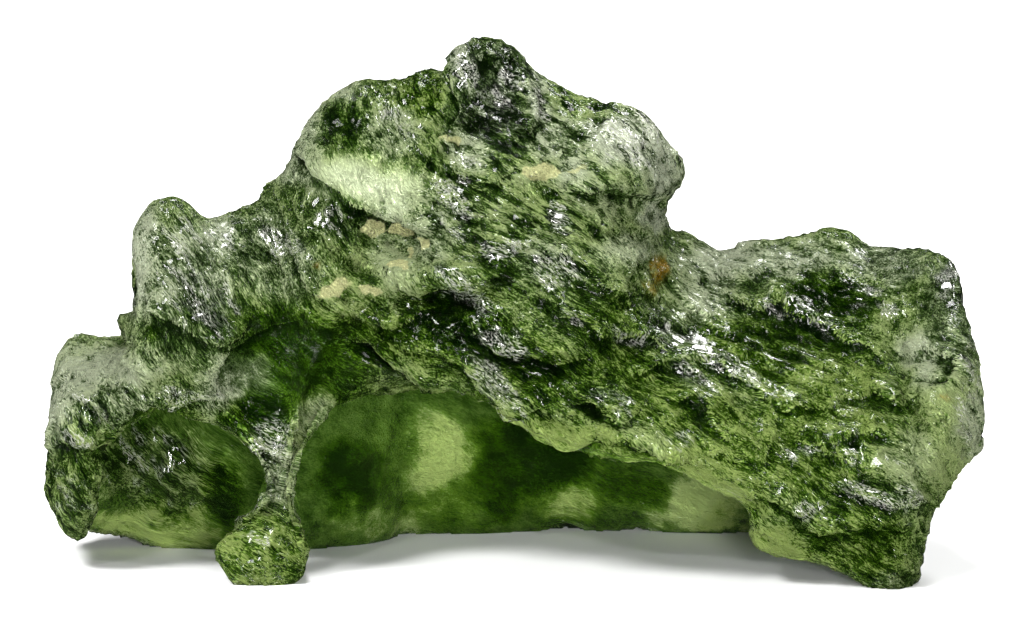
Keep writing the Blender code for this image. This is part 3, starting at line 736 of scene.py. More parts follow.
# %% [markdown]
# ## The flow of the melt
#
# The melt was drawn out before it set. Its lines run steeply down on the left, and lean over further
# right. Everything that is longer one way than the other, scales, threads and the glass's own
# streaks, is worked out in a frame that turns with the flow, so the lines never look ruled.

# %% Flow
TURN_ACROSS, TURN_UP = -6.6, 11.1
STEEP, LEANING = -58, -33
TURN_REACH, TURN_SLANT = 3.0, 0.6
FLOW_WAVES = ((2.4, 0.45), (0.8, 0.12))


def flowing(seen):
    """Points along and across the flow, in mm: turned about one place by an angle that eases between two."""
    x, y = seen[:, 0] - TURN_ACROSS, seen[:, 1] - TURN_UP
    for (size, tall), across_shift, up_shift in zip(FLOW_WAVES, (7.7, 5.5), (3.1, 9.4)):
        x = x + tall * grain(seen / size + across_shift)
        y = y + tall * grain(seen / size + up_shift)
    share = 0.5 - 0.5 * np.tanh((x - TURN_SLANT * y) / TURN_REACH)
    angle = np.radians(LEANING + (STEEP - LEANING) * share)
    c, s = np.cos(angle), np.sin(angle)
    return np.stack([x * c + y * s, y * c - x * s, seen[:, 2]], axis=1)


run = flowing(seen)
print("the flow leans from", STEEP, "to", LEANING, "degrees")

# %% [markdown]
# ## Scales
#
# Each scale is a stretched cell that is hollow in the middle, rises to its lower edge and drops
# there, as shingles do. Large ones lie under small ones, and still larger ones shape the back. Near
# the arch the skin is worn smoother.

# %% Scales
BIG, SMALL, BACK = (2.4, 1.0), (1.0, 0.42), (3.4, 1.7)    # each: length and width in mm
BIG_RISE, SMALL_RISE, BACK_RISE, BACK_SMALL_RISE = 0.25, 0.12, 0.42, 0.10
TILT, RAKE, UNEVEN, DISH = -0.8, 0.35, 0.5, 0.5            # what shapes one scale
BORDER = 0.10                                              # width of a lip, for a scale of 1
LIP_TO_FOOT = 3                                            # how soon a border turns from lip to foot
SHINY_FROM, SHINY_RISE = 0.55, 4                           # which scales have a sheen
SHEEN_MIDDLE, SHEEN_SLOPE = 0.45, -1.4                     # the sheen in a scale's middle, and its rise
BIG_PAINTED_RIM, SMALL_PAINTED_RIM, BROAD_PAINTED_RIM, BACK_SMALL_PAINTED_RIM = 0.8, 0.55, 0.9, 0.5
BACK_BOLD = 0.8
TOP_BACK = 0.1                                             # the back's scales are worn flat above this
CREST_DEPTH, CREST_DEPTH_REACH = 0.45, 1.4                 # how shallow scales are at the crest
LIP_WEAR = 0.7


def scales(run, size, seed):
    """(height, edge, sheen, signed distance) of overlapping scales.

    The height falls with the step across the flow, rises with the step along it and with the square
    of the distance from the seed. The edge is painted light and shade: above 0 for a painted highlight
    on the lower lip and below 0 for painted shade just under the next one up, and so is the distance
    from the cell's border, half the second less the nearest. Some scales have a sheen, which grows
    towards the lip; it gives a glossy coat and painted white glints.
    """
    length, width = size
    step, near, second, own = cells(run / np.array([length, width, width]), seed)
    height = TILT * step[:, 1] + RAKE * step[:, 0] + UNEVEN * (own - 0.5) + DISH * near**2
    border = np.exp(-(second - near) / BORDER)
    edge = border * np.clip(-LIP_TO_FOOT * step[:, 1], -1, 1)
    sheen = np.clip(SHEEN_MIDDLE + SHEEN_SLOPE * step[:, 1], 0, 1)
    sheen = np.clip(SHINY_RISE * (own - SHINY_FROM), 0, 1) * sheen
    apart = 0.5 * width * (second - near) / np.clip(LIP_TO_FOOT * np.abs(step[:, 1]), 0.1, 1)
    return height, edge, sheen, -np.sign(step[:, 1]) * apart


big, big_painted_rim, big_sheen, _ = scales(run, BIG, 11.0)
small, small_painted_rim, small_sheen, _ = scales(run, SMALL, 23.0)
broad, broad_painted_rim, broad_sheen, broad_ledge = scales(run, BACK, 47.0)
deep = every(np.clip(np.minimum(turns / CREST_DEPTH_REACH, FRONT_END - turns), 0, 1))
deep = CREST_DEPTH + (1 - CREST_DEPTH) * deep
rough = outer * deep * (1 - bowl)
fine += rough * (1 - LIP_WEAR * arch_lip) * (BIG_RISE * calm * big + SMALL_RISE * small)
fine += unseen * (BACK_RISE * np.minimum(broad, TOP_BACK) + BACK_SMALL_RISE * small)
# edge: a painted highlight on the scales' lips and painted shade just under them, front and back
edge = rough * (BIG_PAINTED_RIM * calm * big_painted_rim + SMALL_PAINTED_RIM * small_painted_rim)
edge += unseen * (BROAD_PAINTED_RIM * broad_painted_rim + BACK_SMALL_PAINTED_RIM * small_painted_rim)
ledge = np.where(unseen > 0.5, np.clip(broad_ledge, -FAR_FROM_EDGES, FAR_FROM_EDGES), ledge)
bold += BACK_BOLD * unseen
print("scales have", np.count_nonzero(edge > 0.5), "points on their lips")

# %% [markdown]
# ## Threads, pits and bubbles
#
# Fine drawn threads run down the left and over the dome. The ends are pitted. Gas bubbles in the
# melt have been opened by the wear, and each is left as a raised ring round a shallow cup. Inside
# the left arch a rough lump hangs on the far wall.

# %% Threads and pits
THREAD_SLOPE = 2.2
PIT_SIZE, PIT_DEPTH, DEEPEST_PIT, PIT_LEVEL = 0.42, 0.14, 0.6, 0.2
# Soft noise, each layer with its size, height and shift: on the outer skin, in the hollow and on the lump.
OUTER_GRAIN = ((0.55, 0.06, 0), (0.27, 0.035, 0))
HOLLOW_GRAIN = ((1.4, 0.10, 0),)
NOOK_GRAIN = ((1.3, 0.9, 3.3), (0.6, 0.5, 0), (0.3, 0.25, 0))


def threads(run, length, width, seed):
    """Ridges along the flow: one less a slope times the size of gradient noise, so sharp where that is 0."""
    return 1 - THREAD_SLOPE * np.abs(grain(run / np.array([length, width, width]) + seed))


for place_share, tall, length, width, seed in (
    (left, 0.08, 1.9, 0.34, 31.0), (dome, 0.10, 1.8, 0.5, 37.0), (calm * outer, 0.05, 1.1, 0.28, 41.0),
):
    fine += tall * place_share * threads(run, length, width, seed)
_, near, second, _ = cells(seen / PIT_SIZE, 53.0)
pits = np.clip(second - near, 0, DEEPEST_PIT) - PIT_LEVEL
fine -= PIT_DEPTH * np.clip(knob + shoulder + low_left, 0, 1) * pits
for place_share, layers in ((outer, OUTER_GRAIN), (inside, HOLLOW_GRAIN), (nook, NOOK_GRAIN)):
    fine += place_share * layered(seen, layers)
print("pits and threads bring the relief to", fine.min().round(2), "to", fine.max().round(2), "mm")

# %% [markdown]
# ## Marks
#
# Some patches of the skin are polished and glint: they get a glossy coat and painted white glints.
# Clay has dried in the cracks under the dome, and a few spots are rusty. They are placed one by one,
# because they are what tells this stone from another, and their borders wander so that no ellipse
# shows.

# %% Marks
# Patches that glint, and patches of clay and rust: (across, up, half length, half width, turn, strength).
GLINTS = (
    (-1.6, 18.6, 0.65, 0.79, 0, 1), (-0.6, 17.8, 1.23, 0.87, -30, 0.7), (0.9, 17.3, 0.36, 0.87, 15, 1),
    (-4.2, 16.8, 1.08, 0.87, -45, 0.6), (-2.2, 16.2, 0.72, 0.36, 0, 0.7),
    (-1.6, 15.1, 0.94, 0.51, -25, 0.6), (-2.2, 13.5, 0.58, 1.23, 15, 0.8),
    (-0.3, 12.2, 0.94, 0.29, 10, 1), (1.8, 13.2, 0.51, 0.94, 20, 0.8),
    (1.4, 11.4, 0.94, 0.72, -10, 0.9), (-1.7, 10.7, 1.23, 0.47, -25, 1),
    (2.1, 9.7, 0.65, 0.18, -20, 0.9), (-0.3, 8.8, 0.94, 0.51, -15, 0.9),
    (-0.6, 7.2, 1.44, 0.51, -40, 1), (4.0, 9.0, 0.94, 0.25, -15, 0.8), (5.6, 9.0, 0.87, 0.54, -30, 0.8),
    (7.3, 8.2, 1.88, 0.40, -35, 1), (3.4, 6.8, 1.23, 0.47, -20, 0.8), (6.5, 7.3, 0.87, 0.40, -35, 0.8),
    (6.0, 5.4, 0.43, 0.25, 0, 0.7), (10.4, 4.9, 0.79, 0.29, 0, 0.7), (10.6, 2.9, 0.51, 0.22, 0, 0.8),
    (13.2, 3.3, 1.66, 0.40, -10, 1), (12.7, 4.5, 1.44, 0.32, -8, 0.6),
    (4.0, 16.1, 1.44, 0.94, -10, 0.8), (10.4, 9.7, 2.17, 0.29, -22, 0.5),
    (13.2, 10.4, 1.44, 0.58, -30, 0.5), (16.0, 10.7, 0.65, 0.94, 0, 0.7),
    (-11.3, 10.4, 1.44, 1.23, -40, 0.8), (-12.0, 12.5, 1.08, 0.94, -50, 0.6),
    (-10.5, 12.6, 0.51, 0.51, 0, 0.7), (-8.4, 12.5, 1.01, 0.65, -30, 0.7),
    (-11.8, 7.0, 1.30, 0.32, 0, 1), (-14.9, 6.3, 1.01, 0.51, -30, 0.8), (-15.6, 5.4, 0.65, 0.29, 0, 1),
    (-8.7, 5.4, 0.79, 1.08, 0, 0.9), (-6.8, 13.4, 1.08, 0.65, -35, 0.5),
    (-15.7, 3.4, 0.79, 0.87, 0, 0.5), (-9.1, 1.7, 0.65, 0.65, -40, 0.6),
    (16.2, 6.8, 0.43, 1.81, 0, 0.6),
)
CLAY = (
    (-4.9, 13.0, 0.43, 0.29, 10, 1), (-4.0, 12.9, 0.47, 0.29, -10, 1), (-3.2, 12.3, 0.22, 0.32, 10, 1),
    (-4.1, 11.5, 0.43, 0.22, 5, 1), (-3.7, 12.0, 0.18, 0.18, 0, 0.9), (-6.4, 10.7, 0.79, 0.29, 15, 0.6),
    (-5.1, 10.8, 0.51, 0.22, 0, 0.7), (1.0, 14.9, 0.72, 0.32, 10, 0.8),
    (-2.2, 16.1, 0.54, 0.25, 0, 0.6), (2.2, 15.1, 0.58, 0.18, 0, 0.5),
    (-3.7, 14.1, 0.72, 0.25, -70, 0.35), (-15.6, 5.7, 0.36, 0.18, -20, 0.4),
)
RUST = (
    (5.2, 11.4, 0.25, 0.43, 10, 1), (4.9, 10.8, 0.25, 0.22, 0, 0.8), (-12.7, 6.3, 0.11, 0.22, -20, 0.5),
    (-7.0, 11.5, 0.18, 0.11, 0, 0.5), (15.5, 6.7, 0.18, 0.14, 0, 0.5),
)
# Opened bubbles: (across, up, radius, height of the ring).
BUBBLES = (
    (-10.0, 7.3, 0.40, 0.12), (-9.1, 8.0, 0.29, 0.1), (-10.8, 8.0, 0.18, 0.08), (-6.6, 7.8, 0.25, 0.08),
    (-7.8, 7.6, 0.18, 0.06), (-7.5, 8.6, 0.18, 0.05), (-12.7, 8.5, 0.22, 0.08),
    (-12.3, 8.0, 0.14, 0.06), (-9.5, 6.8, 0.14, 0.05),
)
MARK_WAVES = ((1.0, 0.35), (0.4, 0.22), (0.18, 0.10))
RING_WIDTH, CUP_DEPTH, CUP_WIDTH = 0.3, 0.6, 0.7       # shares of a bubble's ring and radius
RING_PAINTED_LIGHT = 3.0
SCALE_SHEEN = 0.35
GLINT_SHEEN, GLINT_SMALL, GLINT_BIG = 0.55, 0.9, 0.4   # everywhere in a glint, and what scales add
NOOK_SHEEN, NOOK_SMALL = 0.25, 0.5
BACK_SHEEN = 0.8
BACK_GLINTS, BACK_GLINT_LEVEL, BACK_GLINT_MOST = ((1.5, 3, 4.4),), 0.3, 0.9


def patches(seen, marks):
    """How much each point lies in any mark: the greatest of strength times its window."""
    moved = wavy(seen, MARK_WAVES, 43.9, 71.3)
    share = np.zeros(len(seen))
    for across, up, length, width, turn, strength in marks:
        share = np.maximum(share, strength * window(moved, across, up, length, width, turn))
    return share


def bubbles(seen):
    """Opened bubbles: a bell round each one's radius, less a wider bell at its middle."""
    height = np.zeros(len(seen))
    for across, up, radius, tall in BUBBLES:
        far = np.hypot(seen[:, 0] - across, seen[:, 1] - up) / radius
        ring, cup = np.exp(-((far - 1) / RING_WIDTH) ** 2), np.exp(-(far / CUP_WIDTH) ** 2)
        height += tall * (ring - CUP_DEPTH * cup)
    return height


opened = front * bubbles(seen)
fine += opened
# Each bubble's raised ring gets a painted highlight, and its cup a little painted shade.
edge += RING_PAINTED_LIGHT * np.clip(opened, -0.05, 0.3)
clay, rust = front * patches(seen, CLAY), front * patches(seen, RUST)
# The sheen puts on a glossy coat, and where it is high the colour gets painted white glints.
sheen = SCALE_SHEEN * rough * np.clip(big_sheen * calm + 0.5 * small_sheen, 0, 1)
sheen += front * patches(seen, GLINTS) * (GLINT_SHEEN + GLINT_SMALL * small_sheen + GLINT_BIG * big_sheen)
back_glints = np.clip(layered(flat, BACK_GLINTS) - BACK_GLINT_LEVEL, 0, BACK_GLINT_MOST)
sheen += unseen * (BACK_SHEEN * broad_sheen + back_glints) + nook * (NOOK_SHEEN + NOOK_SMALL * small_sheen)
sheen = np.clip(sheen, 0, 1)
print("patches:", len(GLINTS), "glint,", len(CLAY), "clay,", len(RUST), "rust, and", len(BUBBLES), "bubbles")

# %% [markdown]
# ## Tints
#
# The glass isn't one colour. Where it is thin it glows yellow green, where it is thick it is nearly
# black, and where its skin is frosted it is grey. Light is painted into these tones as well: the glow
# of light coming through thin parts, highlights on facets and edges, and shade in folds, pits and
# under overhangs. One tint for the stone would lose that, and a picture laid over it would stretch
# at the sides. So each region of the stone has a soft ellipse of its own that says how light and how
# grey it is, and noise bends its border.

# %% Tints of the front
# Each tint: where it is, across and up, its half length and half width, its turn in degrees, how light it
# is, painted light and shade included, and how grey.
OUTER_TINTS = (
    # painted rim light along the left wing's edge
    (-13.5, 11.7, 0.87, 2.24, 0, 0.84, 0.87),  # pale edge of the left wing
    (-11.7, 10.9, 1.52, 2.53, 0, 0.50, 0.76),  # left wing
    # painted highlight on a facet
    (-10.5, 12.7, 0.72, 0.79, 0, 0.80, 0.85),  # bright facet
    (-9.0, 12.2, 1.23, 1.66, 0, 0.36, 0.72),  # left slope
    (-11.8, 8.7, 1.81, 0.94, 0, 0.28, 0.60),  # under the wing
    (-13.2, 9.0, 0.29, 0.29, 0, 0.00, 0.30),  # hook's shadow
    # painted shade at the foot of the wing
    (-11.3, 9.9, 1.23, 0.51, -30, 0.02, 0.45),  # wing, dark foot
    (-15.1, 7.7, 2.17, 1.23, 0, 1.14, 0.80),  # left lobe
    (-16.5, 6.0, 0.79, 1.81, 0, 0.80, 0.84),  # left lobe, outer edge
    (-14.2, 6.6, 0.94, 0.79, 0, 0.42, 0.70),  # left lobe, inner side
    (-15.8, 3.9, 1.44, 1.81, 0, 0.42, 0.45),  # left lobe, foot
    (-13.1, 1.9, 2.53, 0.51, 0, 0.66, 0.55),  # left arch's rim
    (-10.5, 7.3, 0.79, 1.23, 10, 0.80, 0.76),  # bowl's crescent
    (-9.1, 7.7, 1.23, 1.23, 0, 0.53, 0.78),  # bowl
    (-7.0, 7.7, 1.81, 1.23, 0, 0.22, 0.22),  # bowl's floor
    (-6.8, 17.3, 1.81, 0.94, 38, 0.86, 0.80),  # dome's edge
    (-6.0, 16.6, 1.08, 0.94, 0, 0.05, 0.45),  # dome's pit
    (-4.4, 16.5, 0.94, 0.87, 0, 0.60, 0.66),  # dome, right
    (-7.7, 15.2, 0.94, 1.23, 0, 0.66, 0.76),  # dome, low left
    (-3.2, 17.9, 0.79, 0.72, 0, 0.36, 0.25),  # grassy streaks
    # see-through glass with a painted highlight
    (-5.1, 14.5, 2.02, 1.01, -8, 1.20, 0.74),  # pale patch
    (-4.4, 13.5, 1.08, 1.01, 0, 0.86, 0.72),  # pale patch, below
    (-6.6, 13.2, 1.44, 0.94, 0, 0.38, 0.56),  # slope under the dome
    (-2.0, 19.0, 0.58, 0.79, 0, 0.70, 0.86),  # knob, left edge
    (-0.8, 18.5, 0.94, 1.01, 0, 0.12, 0.90),  # knob
    (-0.9, 16.9, 1.23, 1.23, 0, -0.12, 0.95),  # knob, dark face
    (0.9, 17.7, 0.51, 1.52, 10, 0.68, 0.86),  # knob, right edge
    (-1.8, 15.7, 0.87, 0.65, 0, 0.74, 0.74),  # under the knob
    (-0.5, 15.8, 0.79, 0.94, 0, 0.10, 0.50),  # dark chimney
    (1.3, 16.1, 0.94, 0.94, 0, 0.60, 0.76),  # right of the knob
    (3.9, 16.1, 1.73, 0.94, -10, 0.86, 0.90),  # shoulder
    (5.4, 15.4, 0.94, 1.30, 0, 0.86, 0.88),  # shoulder's tip
    (3.3, 14.0, 1.59, 0.94, 0, 0.75, 0.62),  # under the shoulder
    (5.1, 13.4, 0.58, 0.79, 0, 0.84, 0.86),  # shoulder's low edge
    (0.9, 14.8, 1.23, 0.58, 0, 0.72, 0.55),  # clay shelf
    (2.2, 14.9, 0.79, 0.79, 0, 0.74, 0.76),  # brow, middle
    (-7.7, 13.8, 0.58, 0.72, 0, 0.38, 0.50),  # far slope, dark
    (-1.0, 13.1, 1.52, 1.30, 0, 0.50, 0.52),  # middle hollow
    (-0.3, 11.7, 0.79, 0.94, 0, 0.10, 0.45),  # dark notch
    (-3.0, 12.7, 0.87, 1.08, 0, 0.62, 0.68),  # middle left
    (-4.3, 11.7, 1.01, 0.94, 0, 0.98, 0.62),  # teal pocket
    (-6.2, 10.7, 1.30, 0.87, 0, 0.62, 0.47),  # yellow glow
    # the two dark folds are painted shade
    (-7.9, 9.1, 2.17, 0.94, 0, 0.16, 0.22),  # dark fold
    (-5.2, 9.1, 1.44, 0.94, 0, 0.20, 0.22),  # dark fold, right
    (-8.1, 11.4, 1.23, 0.94, 0, 0.50, 0.66),  # slope, left of the middle
    (1.2, 11.7, 0.94, 0.94, 0, 0.50, 0.72),  # ledge
    (3.9, 11.9, 1.23, 0.87, 0, 0.84, 0.71),  # ledge, right
    (-2.3, 9.5, 1.66, 1.30, 0, -0.08, 0.00),  # above the arch, dark
    (-0.5, 8.7, 0.79, 0.87, 0, -0.04, 0.34),  # leaf
    (2.1, 10.4, 1.81, 1.30, 0, 0.37, 0.48),  # middle right
    (3.7, 9.6, 1.44, 0.79, 0, 0.38, 0.25),  # green hollow
    (1.2, 7.7, 2.53, 0.94, -30, 0.16, 0.15),  # over the arch
    (5.5, 9.1, 1.44, 0.72, -35, 0.24, 0.61),  # ridge
    (4.0, 7.3, 1.81, 1.08, -30, 0.36, 0.10),  # low middle
    (7.7, 11.7, 1.88, 1.08, 0, 0.80, 0.82),  # veil
    (10.4, 11.7, 1.81, 0.94, 0, 0.66, 0.80),  # veil, far
    (6.8, 10.2, 1.23, 0.94, 0, 0.74, 0.76),  # veil, low
    (11.4, 10.4, 1.44, 1.01, 0, -0.20, 0.10),  # veil's pit
    (16.0, 10.9, 0.72, 0.94, 0, 0.22, 0.60),  # right corner, dark
    (13.4, 11.7, 1.59, 0.94, 0, 0.50, 0.78),  # right brow
    (14.9, 8.1, 1.16, 1.01, 0, 1.08, 0.78),  # pale lip
    (15.8, 9.3, 0.94, 2.53, 0, 0.30, 0.66),  # right wall
    (16.0, 5.7, 1.23, 2.17, 0, 1.05, 0.48),  # right wall, low
    (16.8, 5.7, 0.58, 1.81, 0, 0.74, 0.73),  # right end
    (9.6, 8.7, 2.17, 1.08, 0, 0.10, 0.05),  # swirl
    (11.4, 6.9, 2.17, 1.44, -10, 0.57, 0.06),  # swirl, middle
    (6.8, 6.0, 2.17, 0.87, -25, 0.48, 0.02),  # swirl, dark leaf
    (9.5, 5.8, 1.08, 0.79, 0, 0.63, 0.30),  # swirl, light leaf
    (13.8, 6.8, 0.94, 1.08, 0, 0.52, 0.45),  # swirl, right
    (10.4, 4.4, 2.17, 0.94, 0, 0.47, 0.08),  # swirl, low
    (14.2, 4.6, 1.01, 1.08, 0, 0.84, 0.58),  # low right
    (7.5, 4.0, 1.81, 0.87, -35, 0.90, 0.00),  # arch's shoulder
    (11.1, 3.0, 1.59, 0.58, 0, 0.40, 0.40),  # dark low leaf
    (9.7, 1.5, 1.23, 0.65, -15, 1.14, 0.12),  # right foot, left
    (12.7, 1.7, 1.66, 0.87, -15, 0.42, 0.16),  # right foot
    (13.8, 0.3, 0.58, 0.43, 0, 0.46, 0.60),  # right foot, edge
    (14.0, 3.1, 0.79, 0.65, 0, 0.54, 0.62),  # right foot, right
    # painted glow of the arch's thin rim
    (1.7, 5.5, 3.25, 0.40, -18, 0.82, 0.05),  # arch's rim
    (-2.6, 6.8, 1.81, 0.40, 0, 0.58, 0.15),  # arch's crown
    (-9.0, 6.1, 1.23, 0.79, 0, 0.04, 0.20),  # pillar's head
    (-7.3, 6.3, 0.58, 1.08, -20, 0.74, 0.60),  # pillar's rim
    (-7.7, 3.9, 0.25, 1.88, 0, 0.86, 0.50),  # pillar's right edge
    (-8.6, 4.2, 0.79, 1.23, 0, 0.64, 0.72),  # pillar
    (-9.1, 1.4, 1.59, 1.16, 0, 0.68, 0.15),  # foot
)
print(len(OUTER_TINTS), "tints on the front")

# %% [markdown]
# ## The far wall's tints
#
# Through the arches the inner side of the back wall shows. Its bright panes are painted glow, which
# stands for light that comes through the wall, between darker, thicker parts.

# %% Tints of the far wall
# The same for the far wall seen through the arches.
INNER_TINTS = (
    (-1.2, 4.2, 1.08, 1.08, 0, 0.50, 0.15),  # green pane
    # painted glow
    (-3.0, 4.9, 1.59, 1.30, 0, 0.98, 0.36),  # bright pane
    (-4.6, 5.3, 1.08, 1.08, 0, 0.56, 0.44),  # pane, left
    (-6.1, 3.7, 1.23, 1.37, 0, 0.18, 0.28),  # dark pane
    (-5.0, 2.1, 2.17, 0.58, 0, 0.70, 0.42),  # grey pane
    (-2.6, 3.0, 1.44, 0.79, 0, 0.61, 0.30),  # middle pane
    (1.0, 4.4, 2.24, 1.30, 0, 0.20, 0.00),  # dark wall
    (-0.5, 3.1, 1.08, 0.94, 0, 0.24, 0.07),  # dark wall, low
    (1.9, 2.9, 1.66, 0.65, 0, 0.84, 0.05),  # light spot
    (4.0, 3.5, 1.08, 0.94, 0, 0.36, 0.18),  # dark wall, right
    # painted glow, with the row below
    (6.8, 3.1, 1.66, 1.08, 0, 1.20, 0.42),  # right pane
    (8.0, 2.4, 0.87, 0.51, 0, 0.90, 0.30),  # right pane, low
    (-11.3, 4.2, 2.17, 1.44, 0, 0.58, 0.46),  # left arch, dark
    (-12.6, 4.2, 1.30, 1.08, 0, 0.44, 0.50),  # left arch, textured
    # painted glow along the bottom of the left arch
    (-13.1, 2.0, 2.89, 0.65, 0, 0.95, 0.25),  # left arch, low
    (-10.5, 3.0, 0.79, 1.23, 0, 0.24, 0.24),  # left arch, dark right
)
print(len(INNER_TINTS), "tints on the far wall")

# %% [markdown]
# ## How light and how grey each point is
#
# The tints are laid over each other in their order. What no tint covers keeps the plain tone. The
# back and the sides get their own broad clouds of light and dark, since the same glass makes them.

# %% Tone
PLAIN_TONE = 0.50
PLAIN_GREY = 0.48
TINT_WAVES = np.array(((2.2, 0.7), (0.8, 0.35), (0.35, 0.2)))
# Clouds of light and grey: each layer's size, strength and shift.
BACK_CLOUDS = ((3.2, 0.34, 2.2), (1.1, 0.20, 8.8))
BACK_GREY = ((2.6, 0.9, 6.1),)
HOLLOW_CLOUDS = ((0.9, 0.16, 5.1), (0.4, 0.10, 0))
BACK_GREYER = 0.16
ARCH_RIM_PAINTED_GLOW, LIP_CLEARER = 0.16, 0.8


def tinted(seen, tints, wander):
    """(tone, grey): from the plain values, each tint in turn moves them towards its own by its window."""
    tone = np.full(len(seen), PLAIN_TONE)
    grey = np.full(len(seen), PLAIN_GREY)
    moved = wavy(seen, TINT_WAVES * (1, wander), 61.7, 83.1)
    for across, up, length, width, turn, light, dull in tints:
        share = window(moved, across, up, length, width, turn)
        tone += share * (light - tone)
        grey += share * (dull - grey)
    return tone, grey


tone = np.full(len(seen), PLAIN_TONE)
grey = np.full(len(seen), PLAIN_GREY)
for share, tints, wander in ((front, OUTER_TINTS, 1.0), (inside, INNER_TINTS, 1.7)):
    light, dull = tinted(seen, tints, wander)
    tone += share * (light - tone)
    grey += share * (dull - grey)
tone += unseen * layered(flat, BACK_CLOUDS) + inside * layered(seen, HOLLOW_CLOUDS)
# The thin rim of the arch gets painted glow: lighter and a clearer green.
tone += ARCH_RIM_PAINTED_GLOW * arch_lip
grey += unseen * (BACK_GREYER + layered(flat, BACK_GREY))
grey -= LIP_CLEARER * arch_lip * grey
print("tone", tone.min().round(2), "to", tone.max().round(2), "and grey", grey.mean().round(2), "on average")

# %% [markdown]
# ## Busy and crumpled parts
#
# The glass is smooth where the hollow shelters it, where the arch is worn and on the pale patch, and
# crumpled like foil on the knob and the shoulder, where the small tiles are painted in light and
# shade, as facets of foil would be. Two numbers for each point carry that into the material.

# %% Busy and crumpled
LEAST_BUSY = 0.25
CALM_BOWL, CALM_LIP, CALM_PALE = 0.7, 0.7, 0.55     # how much calmer these places are
HALF_RELIEF = 0.12                                  # the height in mm that counts as half

busy = LEAST_BUSY + (1 - LEAST_BUSY) * np.clip(outer * (1 - CALM_BOWL * bowl) + nook, 0, 1)
busy *= (1 - CALM_LIP * arch_lip) * (1 - CALM_PALE * front * pale)
crumpled = 1.2 * knob + shoulder + brow + 0.5 * (dome + low_left) + 0.8 * front * lobe + 0.4 * unseen
crumpled = np.clip(crumpled, 0, 1)
fine *= every(full)
relief = fine / (HALF_RELIEF + np.abs(fine))
print("busy", busy.mean().round(2), "crumpled", crumpled.mean().round(2), "on average")

# %% [markdown]
# ## The mesh
#
# The relief is laid on along the skin's own outward direction. The rings are joined by four-sided
# faces, and a fan closes each end. A skin of one sheet with no seam left open is what glass needs,
# because light that enters it has to find a way out. The underside is worn flat where it touches
# the ground, and the whole is set down where the solid core stands.

# %% The mesh
WORN = 0.08
grid = grid + outward(grid) * fine.reshape(shape)[..., None]


def closed_faces(columns, rows):
    """Faces of a closed tube: corners (i, j), (i, j + 1), (i + 1, j + 1), (i + 1, j), and two end fans."""
    i, j = np.meshgrid(np.arange(columns - 1), np.arange(rows), indexing="ij")
    beside = (j + 1) % rows
    quads = np.stack([i * rows + j, i * rows + beside, (i + 1) * rows + beside, (i + 1) * rows + j], -1)
    row = np.arange(rows)
    after = (row + 1) % rows
    left_end, right_end = columns * rows, columns * rows + 1
    last = (columns - 1) * rows
    left = np.stack([np.full(rows, left_end), after, row], axis=-1)
    right = np.stack([np.full(rows, right_end), last + row, last + after], axis=-1)
    return quads.reshape(-1, 4).tolist() + left.tolist() + right.tolist()


points = np.concatenate([grid.reshape(-1, 3), ends])
points[:, 2] = np.where(points[:, 2] < WORN, 0, points[:, 2])
place = (cad_low + cad_high) / 2 - (points.min(axis=0) + points.max(axis=0)) / 2
place[2] = 0
mesh = bpy.data.meshes.new("skin")
mesh.from_pydata(((points + place) * MM).tolist(), [], closed_faces(*shape))
mesh.shade_smooth()
print("skin of", len(mesh.polygons), "faces, placed by", np.round(place, 2), "mm")

# %% [markdown]
# ## What the material reads
#
# A material can only work with what the mesh carries to it. Numbers stored for each point stay with
# the skin in any view and after an export, which a picture projected from one side would not.

# %% Numbers for the material
def keep(name, values):
    """Stores one number or one vector for each point of the mesh. The two end points get 0."""
    one = values.ndim == 1
    layer = mesh.attributes.new(name, "FLOAT" if one else "FLOAT_VECTOR", "POINT")
    both_ends = np.zeros((2, *values.shape[1:]))
    layer.data.foreach_set("value" if one else "vector", np.concatenate([values, both_ends]).ravel())


# relief, edge, ledge, bold and crumpled become painted light and shade in the colour, sheen a coat and
# painted glints, and tone carries painted glow and shade.
carried = {
    "relief": relief, "edge": np.clip(edge, -1, 1), "sheen": sheen, "busy": busy, "tone": tone,
    "grey": grey, "run": run * MM, "clay": clay, "rust": rust, "ledge": ledge, "bold": bold,
    "crumpled": crumpled,
}
for name, values in carried.items():
    keep(name, values)
skin = bpy.data.objects.new("skin", mesh)
bpy.context.scene.collection.objects.link(skin)
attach(skin, "root")
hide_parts(STONE)
print("the skin carries", ", ".join(carried))

# %% [markdown]
# ## A material built of small steps
#
# The material is a net of nodes, and each node does one step of arithmetic. Naming the few steps
# that come back again and again keeps the net readable: take a stored number, make a noise, ease
# between two values, add a share of one thing to another.

# %% Steps of the material
glass = bpy.data.materials.new("green natural glass")
glass.use_nodes = True
nodes, links = glass.node_tree.nodes, glass.node_tree.links
shader = nodes["Principled BSDF"]


def wire(value, socket):
    """Joins an output to the socket, or sets the socket to a plain value."""
    if isinstance(value, bpy.types.NodeSocket):
        links.new(value, socket)
    else:
        socket.default_value = value


def arithmetic(operation, *values):
    """One step of arithmetic on outputs or plain numbers."""
    node = nodes.new("ShaderNodeMath")
    node.operation = operation
    for socket, value in zip(node.inputs, values):
        wire(value, socket)
    return node.outputs["Value"]


def times(a, b):
    """a times b"""
    return arithmetic("MULTIPLY", a, b)


def plus(a, share, b):
    """b + share times a"""
    return arithmetic("MULTIPLY_ADD", a, share, b)


def eased_between(value, low, high, to_low=0.0, to_high=1.0):
    """to_low below low, to_high above high, and between them 3t squared less 2t cubed."""
    node = nodes.new("ShaderNodeMapRange")
    node.interpolation_type = "SMOOTHSTEP"
    for name, number in zip(("From Min", "From Max", "To Min", "To Max"), (low, high, to_low, to_high)):
        node.inputs[name].default_value = number
    links.new(value, node.inputs["Value"])
    return node.outputs["Result"]


